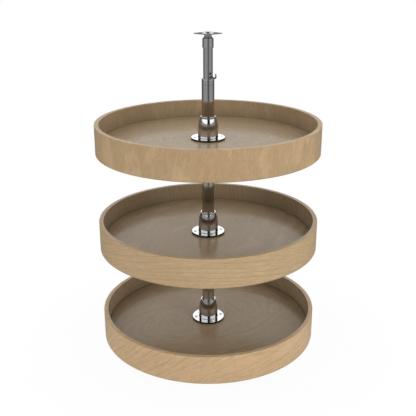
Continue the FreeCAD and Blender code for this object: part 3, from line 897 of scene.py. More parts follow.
def drill(radius, bottom, top, steps=HOLE_STEPS):
    """Round cutting tool on the post's axis."""
    return turned("drill", [(0, bottom), (radius, bottom), (radius, top), (0, top)], steps)


def sunk_drill(radius, sink, bottom, top):
    """Cutting tool for a countersunk hole, whose wide end is at its top."""
    corners = [(0, bottom), (radius, bottom), (radius, top - (sink - radius)), (sink, top),
               (sink, top + OVERSHOOT), (0, top + OVERSHOOT)]
    return turned("drill", corners, HOLE_STEPS)


def dressed(name, mesh, kind, node):
    """Object of a finished mesh that stands for one node, on that node's body and in its slot."""
    mesh.materials.clear()
    mesh.materials.append(finish_for(kind))
    piece = bpy.data.objects.new(name, mesh)
    bpy.context.scene.collection.objects.link(piece)
    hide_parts(node)
    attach(piece, NODE_BODY[node])
    return piece


def turned_piece(name, corners, steps, kind, node):
    """Finished piece that is round about the post, from its corners."""
    return dressed(name, turned(name, corners, steps), kind, node)


# ------------------------------------------------------------------ geometry node trees
SOCKET_KINDS = {float: "NodeSocketFloat", int: "NodeSocketInt", bpy.types.Material: "NodeSocketMaterial"}


def geometry_tree(name, inputs):
    """New geometry tree with a geometry in and out and the named inputs; gives its graph and inputs."""
    tree = bpy.data.node_groups.new(name, "GeometryNodeTree")
    tree.interface.new_socket("Geometry", in_out="INPUT", socket_type="NodeSocketGeometry")
    for label, value in inputs.items():
        kind = next(socket for type_, socket in SOCKET_KINDS.items() if isinstance(value, type_))
        tree.interface.new_socket(label, in_out="INPUT", socket_type=kind)
    tree.interface.new_socket("Geometry", in_out="OUTPUT", socket_type="NodeSocketGeometry")
    graph = Graph(tree)
    entry = tree.nodes.new("NodeGroupInput")
    given = {socket.name: Value(graph, socket) for socket in entry.outputs if socket.name}
    return graph, given


def end_tree(graph, given, geometry):
    """Realizes what the tree made, gives it its material and ends the tree."""
    real = graph.node("GeometryNodeRealizeInstances", None, {0: geometry})
    finished = graph.node("GeometryNodeSetMaterial", None, {0: real, "Material": given["Finish"]})
    graph.feed(graph.tree.nodes.new("NodeGroupOutput").inputs[0], finished)


def grown(name, mesh, build, inputs):
    """Mesh made by a geometry tree: build(graph, given) returns the tree's geometry."""
    graph, given = geometry_tree(name, inputs)
    end_tree(graph, given, build(graph, given))

    def prepare(holder):
        modifier = holder.modifiers.new(name, "NODES")
        modifier.node_group = graph.tree
        for item in graph.tree.interface.items_tree:
            if item.in_out == "INPUT" and item.name in inputs:
                modifier[item.identifier] = inputs[item.name]

    return evaluated(name, mesh, prepare)


def chosen(graph, kind, values):
    """Field that gives each point the value at its own index."""
    switch = graph.tree.nodes.new("GeometryNodeIndexSwitch")
    switch.data_type = kind
    while len(switch.index_switch_items) < len(values):
        switch.index_switch_items.new()
    graph.feed(switch.inputs[0], graph.node("GeometryNodeInputIndex"))
    for index, value in enumerate(values):
        graph.feed(switch.inputs[index + 1], value)
    return Value(graph, switch.outputs[0])


def hoop_geometry(graph, given):
    """Bent hoop: its grooved and rounded section, carried round a circle."""
    outer = given["Radius"]
    inner = outer - given["Wall"]
    foot = given["Foot Height"]
    rim = foot + given["Height"]
    floor_low, floor_high = given["Floor Low"], given["Floor High"]
    groove = inner + given["Groove"]
    lip, edge = given["Lip Rounding"], given["Foot Rounding"]
    near_lip, near_edge = lip + SUPPORT, edge + SUPPORT
    corners = [
        (outer, foot, edge), (outer, foot + near_edge, 0.0),
        (outer, rim - near_lip, 0.0), (outer, rim, lip), (outer - near_lip, rim, 0.0),
        (inner + near_lip, rim, 0.0), (inner, rim, lip), (inner, rim - near_lip, 0.0),
        (inner, floor_high, 0.0), (groove, floor_high, 0.0),
        (groove, floor_low, 0.0), (inner, floor_low, 0.0),
        (inner, foot + near_edge, 0.0), (inner, foot, edge), (inner + near_edge, foot, 0.0),
        (outer - near_edge, foot, 0.0),
    ]
    line = graph.node("GeometryNodeMeshLine", None, {"Count": len(corners)})
    curve = graph.node("GeometryNodeMeshToCurve", None, {0: line})
    closed = graph.node("GeometryNodeSetSplineCyclic", None, {0: curve, "Cyclic": True})
    places = chosen(graph, "VECTOR", [graph.vector(x - outer, 0.0 - y) for x, y, rounding in corners])
    section = graph.node("GeometryNodeSetPosition", None, {0: closed, "Position": places})
    roundings = chosen(graph, "FLOAT", [rounding for x, y, rounding in corners])
    softened = graph.node("GeometryNodeFilletCurve", {"mode": "POLY"},
                          {0: section, "Count": FILLET_STEPS, "Radius": roundings, "Limit Radius": True})
    circle = graph.node("GeometryNodeCurvePrimitiveCircle", {"mode": "RADIUS"},
                        {"Resolution": given["Steps"], "Radius": outer})
    return graph.node("GeometryNodeCurveToMesh", None, {0: circle, 1: softened})


def ring_geometry(graph, given):
    """Copies of the tree's own mesh set round the post, each spun by its own chance angle."""
    circle = graph.node("GeometryNodeMeshCircle", None,
                        {"Vertices": given["Count"], "Radius": given["Circle"]})
    turn = graph.node("FunctionNodeEulerToRotation", None, {0: graph.vector(0.0, 0.0, given["First Angle"])})
    set_round = graph.node("GeometryNodeTransform", None,
                           {0: circle, 1: graph.vector(0.0, 0.0, given["Height"]), 2: turn})
    chance = graph.node("FunctionNodeRandomValue", {"data_type": "FLOAT"},
                        {2: 0.0, 3: math.pi / 2, "Seed": given["Seed"]}, output=1)
    spin = graph.node("FunctionNodeEulerToRotation", None, {0: graph.vector(0.0, 0.0, chance)})
    return graph.node("GeometryNodeInstanceOnPoints", None,
                      {0: set_round, "Instance": given["Geometry"], "Rotation": spin})


def perforated_geometry(graph, given):
    """The tree's own tube with a row of cross holes down from the highest one."""
    row = graph.node("GeometryNodeMeshLine", {"mode": "OFFSET"},
                     {"Count": given["Count"], 2: graph.vector(0.0, 0.0, given["Highest"]),
                      3: graph.vector(0.0, 0.0, 0.0 - given["Pitch"])})
    tool = graph.node("GeometryNodeMeshCylinder", None,
                      {"Vertices": 40, "Radius": given["Hole Radius"], "Depth": given["Depth"]})
    lie = graph.node("FunctionNodeEulerToRotation", None,
                     {0: graph.vector(math.pi / 2, 0.0, given["Azimuth"])})
    tools = graph.node("GeometryNodeInstanceOnPoints", None, {0: row, "Instance": tool, "Rotation": lie})
    solid = graph.node("GeometryNodeRealizeInstances", None, {0: tools})
    return graph.node("GeometryNodeMeshBoolean", {"operation": "DIFFERENCE", "solver": "EXACT"},
                      {0: given["Geometry"], 1: solid})


# ------------------------------------------------------------------ tray pieces
def hoop(tray):
    """Bent hoop of one tray."""
    sizes = bpy.context.scene.carousel_tray
    node, floor = f"{tray}_band", f"{tray}_floor"
    kind = f"{tray}_hoop_veneer"
    inputs = {
        "Radius": reach(node), "Wall": sizes.wall, "Foot Height": low(node), "Height": high(node) - low(node),
        "Floor Low": low(floor), "Floor High": high(floor), "Groove": sizes.groove, "Lip Rounding": sizes.lip,
        "Foot Rounding": sizes.foot, "Steps": sizes.steps, "Finish": finish_for(kind),
    }
    mesh = grown(f"{tray}_hoop", bpy.data.meshes.new("start"), hoop_geometry, inputs)
    return dressed(f"{tray}_hoop", mesh, kind, node)


def panel(tray):
    """Round floor panel of one tray, with its hole for the hub bush."""
    sizes = bpy.context.scene.carousel_tray
    node = f"{tray}_floor"
    bottom, top = low(node), high(node)
    hole, edge = BUSH_OUTER + 2 * SKIN, reach(node)
    visible = reach(f"{tray}_band") - sizes.wall
    corners = [(hole, bottom), (visible, bottom), (edge, bottom), (edge, top), (visible, top), (hole, top)]
    return turned_piece(f"{tray}_panel", corners, sizes.steps, f"{tray}_panel_veneer", node)


# ------------------------------------------------------------------ hub pieces
def bell(tray):
    """Chrome bell of one hub, with its countersunk flange."""
    sizes = bpy.context.scene.carousel_hub
    node = f"{tray}_hub_bell"
    seat, crown = low(node), high(node)
    flange_top = seat + sizes.flange
    neck = RING_SPIGOT + SKIN
    corners = [
        (BELL_CAVITY, seat), (reach(node), seat, BELL_UNDERSIDE_EDGE),
        (reach(node), flange_top, sizes.flange_edge), (BELL_OUTER, flange_top, sizes.fillet),
        (BELL_OUTER, crown - sizes.shoulder / 2, FULL_EDGE), (RING_OUTER + RING_SET_IN, crown),
        (neck, crown), (neck, seat + BUSH_SLEEVE_TOP), (BELL_CAVITY, seat + BUSH_SLEEVE_TOP),
    ]
    mesh = turned("bell", corners, sizes.steps)
    tools = []
    for index in range(sizes.screws):
        place = outward(SCREW_FIRST + math.tau * index / sizes.screws) * SCREW_CIRCLE
        tool = sunk_drill(SCREW_SHANK, SCREW_HEAD + SKIN, seat - OVERSHOOT, flange_top)
        tools.append(moved(tool, Matrix.Translation(place)))
    mesh = cut(mesh, tools)
    return dressed(f"{tray}_bell", mesh, "bell_chrome", node)


def crown_ring(tray):
    """Ring on the crown of one hub."""
    sizes = bpy.context.scene.carousel_hub
    node = f"{tray}_hub_ring"
    crown, top = high(f"{tray}_hub_bell"), high(node)
    corners = [
        (RING_BORE, low(node)), (RING_SPIGOT, low(node)), (RING_SPIGOT, crown), (RING_OUTER, crown),
        (RING_OUTER, top, sizes.ring_edge), (RING_BORE, top, SOFT_EDGE),
    ]
    return turned_piece(f"{tray}_crown_ring", corners, sizes.steps, "hub_chrome", node)


def bush(tray):
    """Plastic bush inside one hub."""
    sizes = bpy.context.scene.carousel_hub
    node = f"{tray}_hub_bush"
    bottom, top, flange_top = low(node), high(node), low(f"{tray}_floor")
    corners = [
        (BUSH_BORE, bottom, SOFT_EDGE), (reach(node), bottom, WIDE_EDGE), (reach(node), flange_top),
        (BUSH_OUTER, flange_top), (BUSH_OUTER, top, SOFT_EDGE), (BUSH_BORE, top, SOFT_EDGE),
    ]
    return turned_piece(f"{tray}_bush", corners, sizes.steps, "bush_plastic", node)


def cross_wing(turn):
    """Cutting tool for one bar of a screw's cross recess, narrower at its bottom."""
    signs = ((-1, -1), (1, -1), (1, 1), (-1, 1))
    top = [(sx * CROSS_SPAN / 2, sy * CROSS_WIDTH / 2, SCREW_CROWN + OVERSHOOT) for sx, sy in signs]
    bottom = [(x * 0.4, y * 0.6, SCREW_CROWN - CROSS_DEPTH) for x, y, z in top]
    sides = [(i, i + 4, (i + 1) % 4 + 4, (i + 1) % 4) for i in range(4)]
    wing = made_mesh("wing", top + bottom, [(0, 1, 2, 3), (7, 6, 5, 4), *sides])
    return moved(wing, Matrix.Rotation(turn, 4, "Z"))


def screw_mesh():
    """Countersunk wood screw with a crowned head and a cross recess, its flange face at height zero."""
    corners = [
        (0.0, -SCREW_LENGTH), (SCREW_SHANK, SCREW_SHANK - SCREW_LENGTH), (SCREW_SHANK, -SCREW_HEAD_DEPTH),
        (SCREW_HEAD, -SCREW_HEAD_WALL), (SCREW_HEAD, 0.0), (SCREW_HEAD * 0.55, SCREW_CROWN, FULL_EDGE),
        (0.0, SCREW_CROWN),
    ]
    mesh = turned("screw", corners, HOLE_STEPS)
    for turn in (0.0, math.pi / 2):
        mesh = cut(mesh, [cross_wing(turn)])
    return mesh


def flange_screws(tray):
    """The screws of one hub, set round its flange."""
    sizes = bpy.context.scene.carousel_hub
    node = f"{tray}_hub_screws"
    inputs = {
        "Count": sizes.screws, "Circle": SCREW_CIRCLE, "First Angle": SCREW_FIRST - math.pi / 2,
        "Height": high(node) - SCREW_CROWN, "Seed": TRAYS.index(tray) + 5,
        "Finish": finish_for("screw_steel"),
    }
    mesh = grown(f"{tray}_flange_screws", screw_mesh(), ring_geometry, inputs)
    return dressed(f"{tray}_flange_screws", mesh, "screw_steel", node)


def collar(tray):
    """Stop collar under one tray, and the set-screw that locks it."""
    sizes = bpy.context.scene.carousel_hub
    node, screw = f"{tray}_collar", f"{tray}_collar_screw"
    bottom, top, outer = low(node), high(node), reach(node)
    middle = Vector((0.0, 0.0, (bottom + top) / 2))
    way = outward(GRUB_AZIMUTH)
    edge = sizes.collar_edge
    corners = [(COLLAR_BORE, bottom, SMALL_EDGE), (outer, bottom, edge), (outer, top, edge),
               (COLLAR_BORE, top, SMALL_EDGE)]
    hole = moved(drill(GRUB_RADIUS, 0.0, outer * 2), laid_along(way, middle))
    dressed(f"{tray}_stop_collar", cut(turned("collar", corners, sizes.steps), [hole]), "turned_steel", node)
    grip, body = outer - COLLAR_BORE - edge, GRUB_RADIUS - SKIN
    corners = [(0.0, 0.0), (body, 0.0, SOFT_EDGE), (body, grip, SMALL_EDGE), (0.0, grip)]
    socket = drill(GRUB_SOCKET, grip - GRUB_SOCKET_DEPTH, grip + OVERSHOOT, 6)
    barrel = cut(turned("set_screw", corners, HOLE_STEPS), [socket])
    mesh = moved(barrel, laid_along(way, middle + way * COLLAR_BORE))
    return dressed(f"{tray}_stop_screw", mesh, "screw_steel", screw)


# ------------------------------------------------------------------ post pieces
def lower_tube():
    """Lower tube with its ferrule and its foot bearing."""
    sizes = bpy.context.scene.carousel_post
    outer, bottom, top = reach("lower_tube"), low("lower_tube"), high("lower_tube")
    groove = high("ferrule") - sizes.groove_drop
    corners = [
        (LOWER_BORE, bottom), (outer, bottom, SMALL_EDGE), (outer, groove - TUBE_GROOVE_HALF, SMALL_EDGE),
        (outer - TUBE_GROOVE_DEPTH, groove, SOFT_EDGE), (outer, groove + TUBE_GROOVE_HALF, SMALL_EDGE),
        (outer, top, HAIR_EDGE), (LOWER_BORE, top),
    ]
    turned_piece("post_tube", corners, sizes.steps, "tube_chrome", "lower_tube")
    sleeve = LOWER_BORE - SKIN
    corners = [
        (FERRULE_BORE, low("ferrule")), (sleeve, low("ferrule")), (sleeve, top), (outer, top, HAIR_EDGE),
        (outer, high("ferrule"), sizes.ferrule_edge), (FERRULE_BORE, high("ferrule"), SOFT_EDGE),
    ]
    turned_piece("post_ferrule", corners, sizes.steps, "hub_chrome", "ferrule")
    bore = STUD_RADIUS + RUNNING_GAP
    corners = [
        (bore, low("foot_bearing")), (outer, low("foot_bearing"), SOFT_EDGE), (outer, bottom, FINE_EDGE),
        (sleeve, bottom), (sleeve, high("foot_bearing"), SOFT_EDGE), (bore, high("foot_bearing"), SOFT_EDGE),
    ]
    turned_piece("foot_sleeve", corners, sizes.steps, "bush_plastic", "foot_bearing")


def mast():
    """Upper tube with its holes, its guide plug, its cap and the bush in the cap."""
    sizes = bpy.context.scene.carousel_post
    outer, bottom, top = reach("upper_tube"), low("upper_tube"), high("upper_tube")
    corners = [(UPPER_BORE, bottom), (outer, bottom), (outer, top), (UPPER_BORE, top)]
    tube = turned("tube", corners, sizes.steps)
    highest = PIN_HEIGHT + sizes.hole_pitch
    lowest = bottom + LOWEST_HOLE
    inputs = {
        "Count": int((highest - lowest) / sizes.hole_pitch) + 1, "Highest": highest,
        "Pitch": sizes.hole_pitch, "Hole Radius": sizes.wire / 2 + HOLE_CLEARANCE, "Depth": outer * 4,
        "Azimuth": HOOK_AZIMUTH, "Finish": finish_for("tube_chrome"),
    }
    dressed("mast_tube", grown("mast_tube", tube, perforated_geometry, inputs), "tube_chrome", "upper_tube")
    head = LOWER_BORE - RUNNING_GAP
    spigot = UPPER_BORE - SKIN
    plug_low, plug_high = low("guide_plug"), high("guide_plug")
    corners = [(PLUG_BORE, plug_low), (head, plug_low, PLUG_EDGE), (head, bottom), (spigot, bottom),
               (spigot, plug_high, WIDE_EDGE), (PLUG_BORE, plug_high)]
    turned_piece("mast_guide", corners, sizes.steps, "bush_plastic", "guide_plug")
    neck, skirt, cap_low, cap_high = reach("pivot_bush"), reach("top_cap"), low("top_cap"), high("top_cap")
    bush_outer = PIVOT_RADIUS + PIVOT_BUSH_WALL
    bush_low = low("pivot_bush")
    inner, plug = outer + SKIN, UPPER_BORE - CAP_SPIGOT_GAP
    corners = [
        (inner, cap_low, FINE_EDGE), (skirt, cap_low, sizes.cap_edge),
        (skirt, cap_high - CAP_CONE, sizes.cap_edge), (neck, cap_high, FINE_EDGE),
        (bush_outer + SKIN, cap_high), (bush_outer + SKIN, bush_low), (plug, bush_low), (plug, top),
        (inner, top),
    ]
    turned_piece("mast_cap", corners, sizes.steps, "hub_chrome", "top_cap")
    bore = PIVOT_RADIUS + RUNNING_GAP
    corners = [(bore, bush_low), (bush_outer, bush_low), (bush_outer, cap_high), (neck, cap_high),
               (neck, high("pivot_bush"), SMALL_EDGE), (bore, high("pivot_bush"))]
    turned_piece("ceiling_bush", corners, sizes.steps, "neck_plastic", "pivot_bush")


def hook_line(outer):
    """Centre line of the height pin in its own plane: straight through the tube, then an open hook."""
    neck = outer + HOOK_NECK
    tip = neck + HOOK_REACH - HOOK_TIP_RETURN
    return rounded([
        (-outer - WIRE_TAIL, 0.0), (neck, 0.0, HOOK_BEND), (neck + HOOK_DIP_REACH, -HOOK_DIP, HOOK_BEND),
        (neck + HOOK_REACH, -HOOK_HEEL, HOOK_BEND), (tip, HOOK_TIP_RISE),
    ])


def swept(name, line, radius, plane, sides=32, dome=9):
    """Round wire along a plane line, its start softened and its end a half ball; plane is (across, up)."""
    across, up = plane
    level = across.cross(up)
    rings = []
    for index, here in enumerate(line):
        before, after = line[max(index - 1, 0)], line[min(index + 1, len(line) - 1)]
        rings.append((here, (after - before).normalized(), radius))
    start, way = rings[0][0], rings[0][1]
    end, end_way = rings[-1][0], rings[-1][1]
    rings[0] = (start + way * radius * 0.3, way, radius)
    rings.insert(0, (start, way, radius * 0.7))
    for step in range(1, dome):
        lean = math.pi / 2 * step / dome
        rings.append((end + end_way * radius * math.sin(lean), end_way, radius * math.cos(lean)))
    points, faces = [], []
    for centre, way, size in rings:
        side = Vector((-way.y, way.x))
        for step in range(sides):
            angle = math.tau * step / sides
            flat = centre + side * size * math.cos(angle)
            points.append(across * flat.x + up * flat.y + level * size * math.sin(angle))
    for index in range(len(rings) - 1):
        for step in range(sides):
            after = (step + 1) % sides
            ring, following = index * sides, (index + 1) * sides
            faces.append((ring + step, ring + after, following + after, following + step))
    faces.append(tuple(reversed(range(sides))))
    last = (len(rings) - 1) * sides
    tip = end + end_way * radius
    points.append(across * tip.x + up * tip.y)
    faces += [(last + step, last + (step + 1) % sides, len(points) - 1) for step in range(sides)]
    return made_mesh(name, points, faces)


def height_pin():
    """Hooked wire pin with its bead."""
    sizes = bpy.context.scene.carousel_post
    outer, wire, half = reach("upper_tube"), sizes.wire / 2, sizes.bead / 2
    way, up = outward(HOOK_AZIMUTH), Vector((0.0, 0.0, 1.0))
    rod = swept("wire", hook_line(outer), wire, (way, up))
    corners = [(wire, 0.0), (half, 0.0, BEAD_EDGE), (half, BEAD_LENGTH, BEAD_EDGE), (wire, BEAD_LENGTH)]
    bead = moved(turned("bead", corners, BEAD_STEPS), laid_along(way, way * (outer + BEAD_GAP)))
    mesh = tidy(moved(joined("height_pin", [rod, bead]), Matrix.Translation((0.0, 0.0, PIN_HEIGHT))))
    return dressed("height_pin_wire", mesh, "pin_chrome", "hook_pin")


def ceiling_plate():
    """Small dished ceiling plate, whose corners point to the front, back and sides, and its riveted pin."""
    sizes = bpy.context.scene.carousel_post
    dish, bottom, top = low("top_plate"), low("top_plate") + DISH_DEPTH, high("top_plate")
    dish_top = dish + (top - bottom)
    cut_off = sizes.plate_corner * 2 * (1 - 1 / math.sqrt(2)) * math.sqrt(2)
    side = reach("top_plate") * math.sqrt(2) + cut_off
    half = side / 2
    hole, edge = PIVOT_RADIUS + SKIN, sizes.plate_edge
    corners = [
        (hole, dish), (DISH_BASE, dish, DISH_UNDER_EDGES[0]), (DISH_RIM, bottom, DISH_UNDER_EDGES[1]),
        (half, bottom, edge), (half, top, edge), (DISH_RIM, top, DISH_UPPER_EDGES[1]),
        (DISH_BASE, dish_top, DISH_UPPER_EDGES[0]), (hole, dish_top),
    ]
    spread = square_spread(side, sizes.plate_corner, math.pi / 4)
    mesh = turned("plate", corners, PLATE_STEPS, spread, (half + DISH_RIM) / 2)
    flip = Matrix.Rotation(math.pi, 4, "X")
    tools = []
    for quarter in range(4):
        tool = sunk_drill(PLATE_HOLE, PLATE_SINK, -top - OVERSHOOT, -bottom)
        place = Matrix.Translation(outward(quarter * math.pi / 2) * PLATE_HOLE_CIRCLE)
        tools.append(moved(tool, place @ flip))
    dressed("ceiling_plate", cut(mesh, tools), "stamped_steel", "top_plate")
    neck, shoulder, tip, peak = reach("pivot_pin"), high("pivot_bush"), low("pivot_pin"), high("pivot_pin")
    corners = [
        (0.0, tip), (PIVOT_RADIUS, tip, PIVOT_TIP_EDGE), (PIVOT_RADIUS, shoulder),
        (neck, shoulder, FINE_EDGE), (neck, dish, FINE_EDGE), (PIVOT_RADIUS, dish),
        (PIVOT_RADIUS, dish_top), (RIVET_FOOT, dish_top),
        (RIVET_SHOULDER, peak - RIVET_CROWN, RIVET_EDGE), (RIVET_CROWN_FLAT, peak, RIVET_DOME), (0.0, peak),
    ]
    return turned_piece("ceiling_rivet", corners, RIVET_STEPS, "rivet_steel", "pivot_pin")


def floor_plate():
    """Floor plate, its riveted stud and the washer on the stud."""
    sizes = bpy.context.scene.carousel_post
    bottom, top = low("base_plate"), high("base_plate")
    half = reach("base_plate")
    middle = half / 2
    hole, edge = STUD_RIVET + SKIN, sizes.plate_edge * 2
    corners = [(hole, bottom), (middle, bottom), (half, bottom, edge), (half, top, edge), (middle, top),
               (hole, top)]
    spread = square_spread(half * 2, sizes.base_corner, 0.0)
    mesh = turned("plate", corners, PLATE_STEPS, spread, (half + middle) / 2)
    tools = []
    for sx in (-1, 1):
        for sy in (-1, 1):
            place = Matrix.Translation((sx * BASE_HOLE_OFFSET, sy * BASE_HOLE_OFFSET, 0.0))
            tools.append(moved(sunk_drill(BASE_HOLE, BASE_SINK, bottom - OVERSHOOT, top), place))
    dressed("floor_plate", cut(mesh, tools), "stamped_steel", "base_plate")
    seat, foot, tip = low("thrust_washer"), low("base_stud"), high("base_stud")
    wide = reach("base_stud")
    corners = [
        (0.0, foot), (STUD_RIVET, foot, SOFT_EDGE), (STUD_RIVET, top), (wide, top, SMALL_EDGE),
        (wide, seat, SMALL_EDGE), (STUD_RADIUS, seat), (STUD_RADIUS, tip, STUD_TIP_EDGE), (0.0, tip),
    ]
    turned_piece("floor_stud", corners, sizes.steps, "turned_steel", "base_stud")
    bore = STUD_RADIUS + RUNNING_GAP
    face = high("thrust_washer") - SKIN
    corners = [(bore, seat), (wide, seat, FINE_EDGE), (wide, face, FINE_EDGE), (bore, face)]
    return turned_piece("floor_washer", corners, sizes.steps, "bush_plastic", "thrust_washer")


# ------------------------------------------------------------------ studio
def arc_span(start, end):
    """Two angles given in degrees, in radians."""
    return math.radians(start), math.radians(end)


# The room that metal shows. Each pair of azimuths is where a part of it begins and is complete, counted from
# the front or, for the dark lane's edges on the floor and up the wall, from the lane's middle.
LANE_TURN = math.radians(7.0)
FLOOR_LANE = arc_span(13.0, 19.0)
WALL_LANE = arc_span(14.0, 19.0)
FLOOR_BEHIND = arc_span(80.0, 104.0)
BOX_ENDS = arc_span(91.0, 96.0)
BACKDROP = arc_span(150.0, 158.0)
# Rises of a mirrored direction at which the softboxes begin and end, how much higher the backdrop does, and
# the ceiling's share below them.
BOX_FOOT = (0.13, 0.17)
BOX_HEAD = (0.50, 0.58)
BACKDROP_FOOT_RISE = 0.07
BACKDROP_HEAD_RISE = 0.17
CEILING_SPILL = 0.2
# Greys of the mirrored floor: in front, and how much darker it is along the lane and behind.
FLOOR_GREY = 0.41
LANE_SHADE = 0.27
BEHIND_SHADE = 0.26

# Floor under the object, in metres, and the distances from the post between which the kept shadow fades.
FLOOR_RADIUS = 9.0
FLOOR_HEIGHT = -0.2 * MM
FLOOR_CHORDS = 96
FLOOR_PALE = (0.80, 0.80, 0.79, 1.0)
SHADOW_FADE = (0.25, 0.5)

# Name, place, width and height of each softbox, in metres, and the setting that holds its radiance.
LIGHT_TARGET = (0.0, 0.0, 0.30)
SOFTBOXES = (
    ("left_softbox", (-1.75, -1.45, 0.7), 1.3, 1.3, "left_light"),
    ("right_softbox", (1.75, -1.45, 0.7), 1.3, 1.3, "right_light"),
    ("left_back_softbox", (-1.5, 1.5, 0.9), 0.9, 1.1, "back_light"),
    ("right_back_softbox", (1.5, 1.5, 0.9), 0.9, 1.1, "back_light"),
    ("overhead_softbox", (0.0, -0.2, 2.1), 1.3, 1.3, "overhead_light"),
)


def ray_kinds(graph):
    """Two values: 1 for rays straight from the camera or through glass, and 1 for rays by way of a mirror."""
    rays = graph.tree.nodes.new("ShaderNodeLightPath")
    camera, through, mirrored = (Value(graph, rays.outputs[name]) for name in
                                 ("Is Camera Ray", "Is Transmission Ray", "Is Glossy Ray"))
    return camera.at_least(through), mirrored


def round_room(graph, x, y):
    """How far a direction or place is turned from the front, and from the dark lane beside it, in radians."""
    turn = graph.node("ShaderNodeMath", {"operation": "ARCTAN2"}, {0: x, 1: 0.0 - y})
    return turn.size(), (turn - LANE_TURN).size()


def dark_floor(turn, lane):
    """Grey that metal shows of the floor: lighter in front, dark behind and along the lane."""
    wedge = 1.0 - lane.eased(*FLOOR_LANE)
    behind = turn.eased(*FLOOR_BEHIND)
    return FLOOR_GREY - wedge * LANE_SHADE - behind * BEHIND_SHADE


def set_world(settings):
    """Even light all round that the camera sees as white, and the softboxes that metal shows."""
    world = bpy.data.worlds.new("studio_air")
    world.use_nodes = True
    bpy.context.scene.world = world
    graph = Graph(world.node_tree)
    graph.tree.nodes.clear()
    way = graph.node("ShaderNodeTexCoord", output="Generated")
    axes = graph.node("ShaderNodeSeparateXYZ", None, {0: way}).socket.node
    x, y, rise = (Value(graph, axes.outputs[index]) for index in range(3))
    turn, lane = round_room(graph, x, y)
    boxes = lane.eased(*WALL_LANE) - turn.eased(*BOX_ENDS)
    backdrop = turn.eased(*BACKDROP)
    foot = (rise - backdrop * BACKDROP_FOOT_RISE).eased(*BOX_FOOT)
    head = (rise - backdrop * BACKDROP_HEAD_RISE).eased(*BOX_HEAD)
    walls = (boxes + backdrop) * settings.box_mirrored * (1.0 - head)
    upper = walls + (head + CEILING_SPILL) * settings.ceiling_mirrored
    mirrored_level = dark_floor(turn, lane) * (1.0 - foot) + upper * foot
    seen, mirrored = ray_kinds(graph)
    level = settings.ambient + (mirrored_level - settings.ambient) * mirrored
    level = level + (1.0 - level) * seen
    air = graph.node("ShaderNodeBackground", None, {0: WHITE, 1: level})
    graph.feed(graph.tree.nodes.new("ShaderNodeOutputWorld").inputs[0], air)


def floor_shader(graph, shadow):
    """Pale floor that the camera sees as white but for the object's soft shadow, which fades outwards."""
    place = graph.node("ShaderNodeTexCoord", output="Object")
    axes = graph.node("ShaderNodeSeparateXYZ", None, {0: place}).socket.node
    x, y = Value(graph, axes.outputs[0]), Value(graph, axes.outputs[1])
    distance = (x * x + y * y) ** 0.5
    seen, mirrored = ray_kinds(graph)
    keep = shadow * (1.0 - distance.eased(*SHADOW_FADE))
    pale = graph.node("ShaderNodeBsdfDiffuse", None, {"Color": FLOOR_PALE})
    level = seen + mirrored * dark_floor(*round_room(graph, x, y))
    glow = graph.node("ShaderNodeEmission", None, {"Color": WHITE, "Strength": level})
    share = (seen * (1.0 - keep)).at_least(mirrored)
    return graph.node("ShaderNodeMixShader", None, {0: share, 1: pale, 2: glow})


def studio_floor(settings):
    """Round floor under the object."""
    material = bpy.data.materials.new("studio_floor")
    material.use_nodes = True
    graph = Graph(material.node_tree)
    graph.tree.nodes.clear()
    shader = floor_shader(graph, settings.shadow)
    graph.feed(graph.tree.nodes.new("ShaderNodeOutputMaterial").inputs[0], shader)
    mesh = bpy.data.meshes.new("studio_floor")
    angles = [math.tau * index / FLOOR_CHORDS for index in range(FLOOR_CHORDS)]
    rim = [(FLOOR_RADIUS * math.cos(angle), FLOOR_RADIUS * math.sin(angle), FLOOR_HEIGHT) for angle in angles]
    mesh.from_pydata(rim, [], [tuple(range(FLOOR_CHORDS))])
    mesh.materials.append(material)
    piece = bpy.data.objects.new("studio_floor", mesh)
    bpy.context.scene.collection.objects.link(piece)


def softbox(name, place, width, height, radiance):
    """Rectangular lamp that faces the object, with its radiance given."""
    light = bpy.data.lights.new(name, "AREA")
    light.shape = "RECTANGLE"
    light.size, light.size_y = width, height
    light.energy = radiance * math.pi * width * height
    piece = bpy.data.objects.new(name, light)
    way = (Vector(LIGHT_TARGET) - Vector(place)).normalized()
    piece.matrix_world = Matrix.Translation(place) @ way.to_track_quat("-Z", "Y").to_matrix().to_4x4()
    piece.visible_camera = False
    piece.visible_glossy = False
    bpy.context.scene.collection.objects.link(piece)


def studio():
    """Camera, floor and lamps."""
    settings = bpy.context.scene.carousel_studio
    scene = bpy.context.scene
    scene.view_settings.view_transform = "Standard"
    camera = bpy.data.cameras.new("camera")
    camera.lens = settings.lens
    camera.sensor_width = 36.0
    camera.clip_start = 0.02
    view = bpy.data.objects.new("camera", camera)
    view.location = (-settings.sideways, -settings.distance, settings.height)
    aim = Matrix.Rotation(math.pi / 2 - settings.tilt, 3, "X") @ Matrix.Rotation(-settings.roll, 3, "Z")
    view.rotation_euler = aim.to_euler()
    scene.collection.objects.link(view)
    scene.camera = view
    set_world(settings)
    studio_floor(settings)
    for name, place, width, height, radiance in SOFTBOXES:
        softbox(name, place, width, height, getattr(settings, radiance))


# ------------------------------------------------------------------ operators
class PieceOperator:
    """What the operators share."""
    bl_options = {"REGISTER", "UNDO"}


class CAROUSEL_OT_hoops(PieceOperator, Operator):
    """Bends the three tray hoops"""
    bl_idname = "carousel.hoops"
    bl_label = "Tray Hoops"

    def execute(self, context):
        for tray in TRAYS:
            hoop(tray)
        return {"FINISHED"}


class CAROUSEL_OT_panels(PieceOperator, Operator):
    """Lays the three floor panels"""
    bl_idname = "carousel.panels"
    bl_label = "Floor Panels"

    def execute(self, context):
        for tray in TRAYS:
            panel(tray)
        return {"FINISHED"}


class CAROUSEL_OT_hubs(PieceOperator, Operator):
    """Sets the bells, crown rings and bushes of the hubs"""
    bl_idname = "carousel.hubs"
    bl_label = "Hubs"

    def execute(self, context):
        for tray in TRAYS:
            bell(tray)
            crown_ring(tray)
            bush(tray)
        return {"FINISHED"}


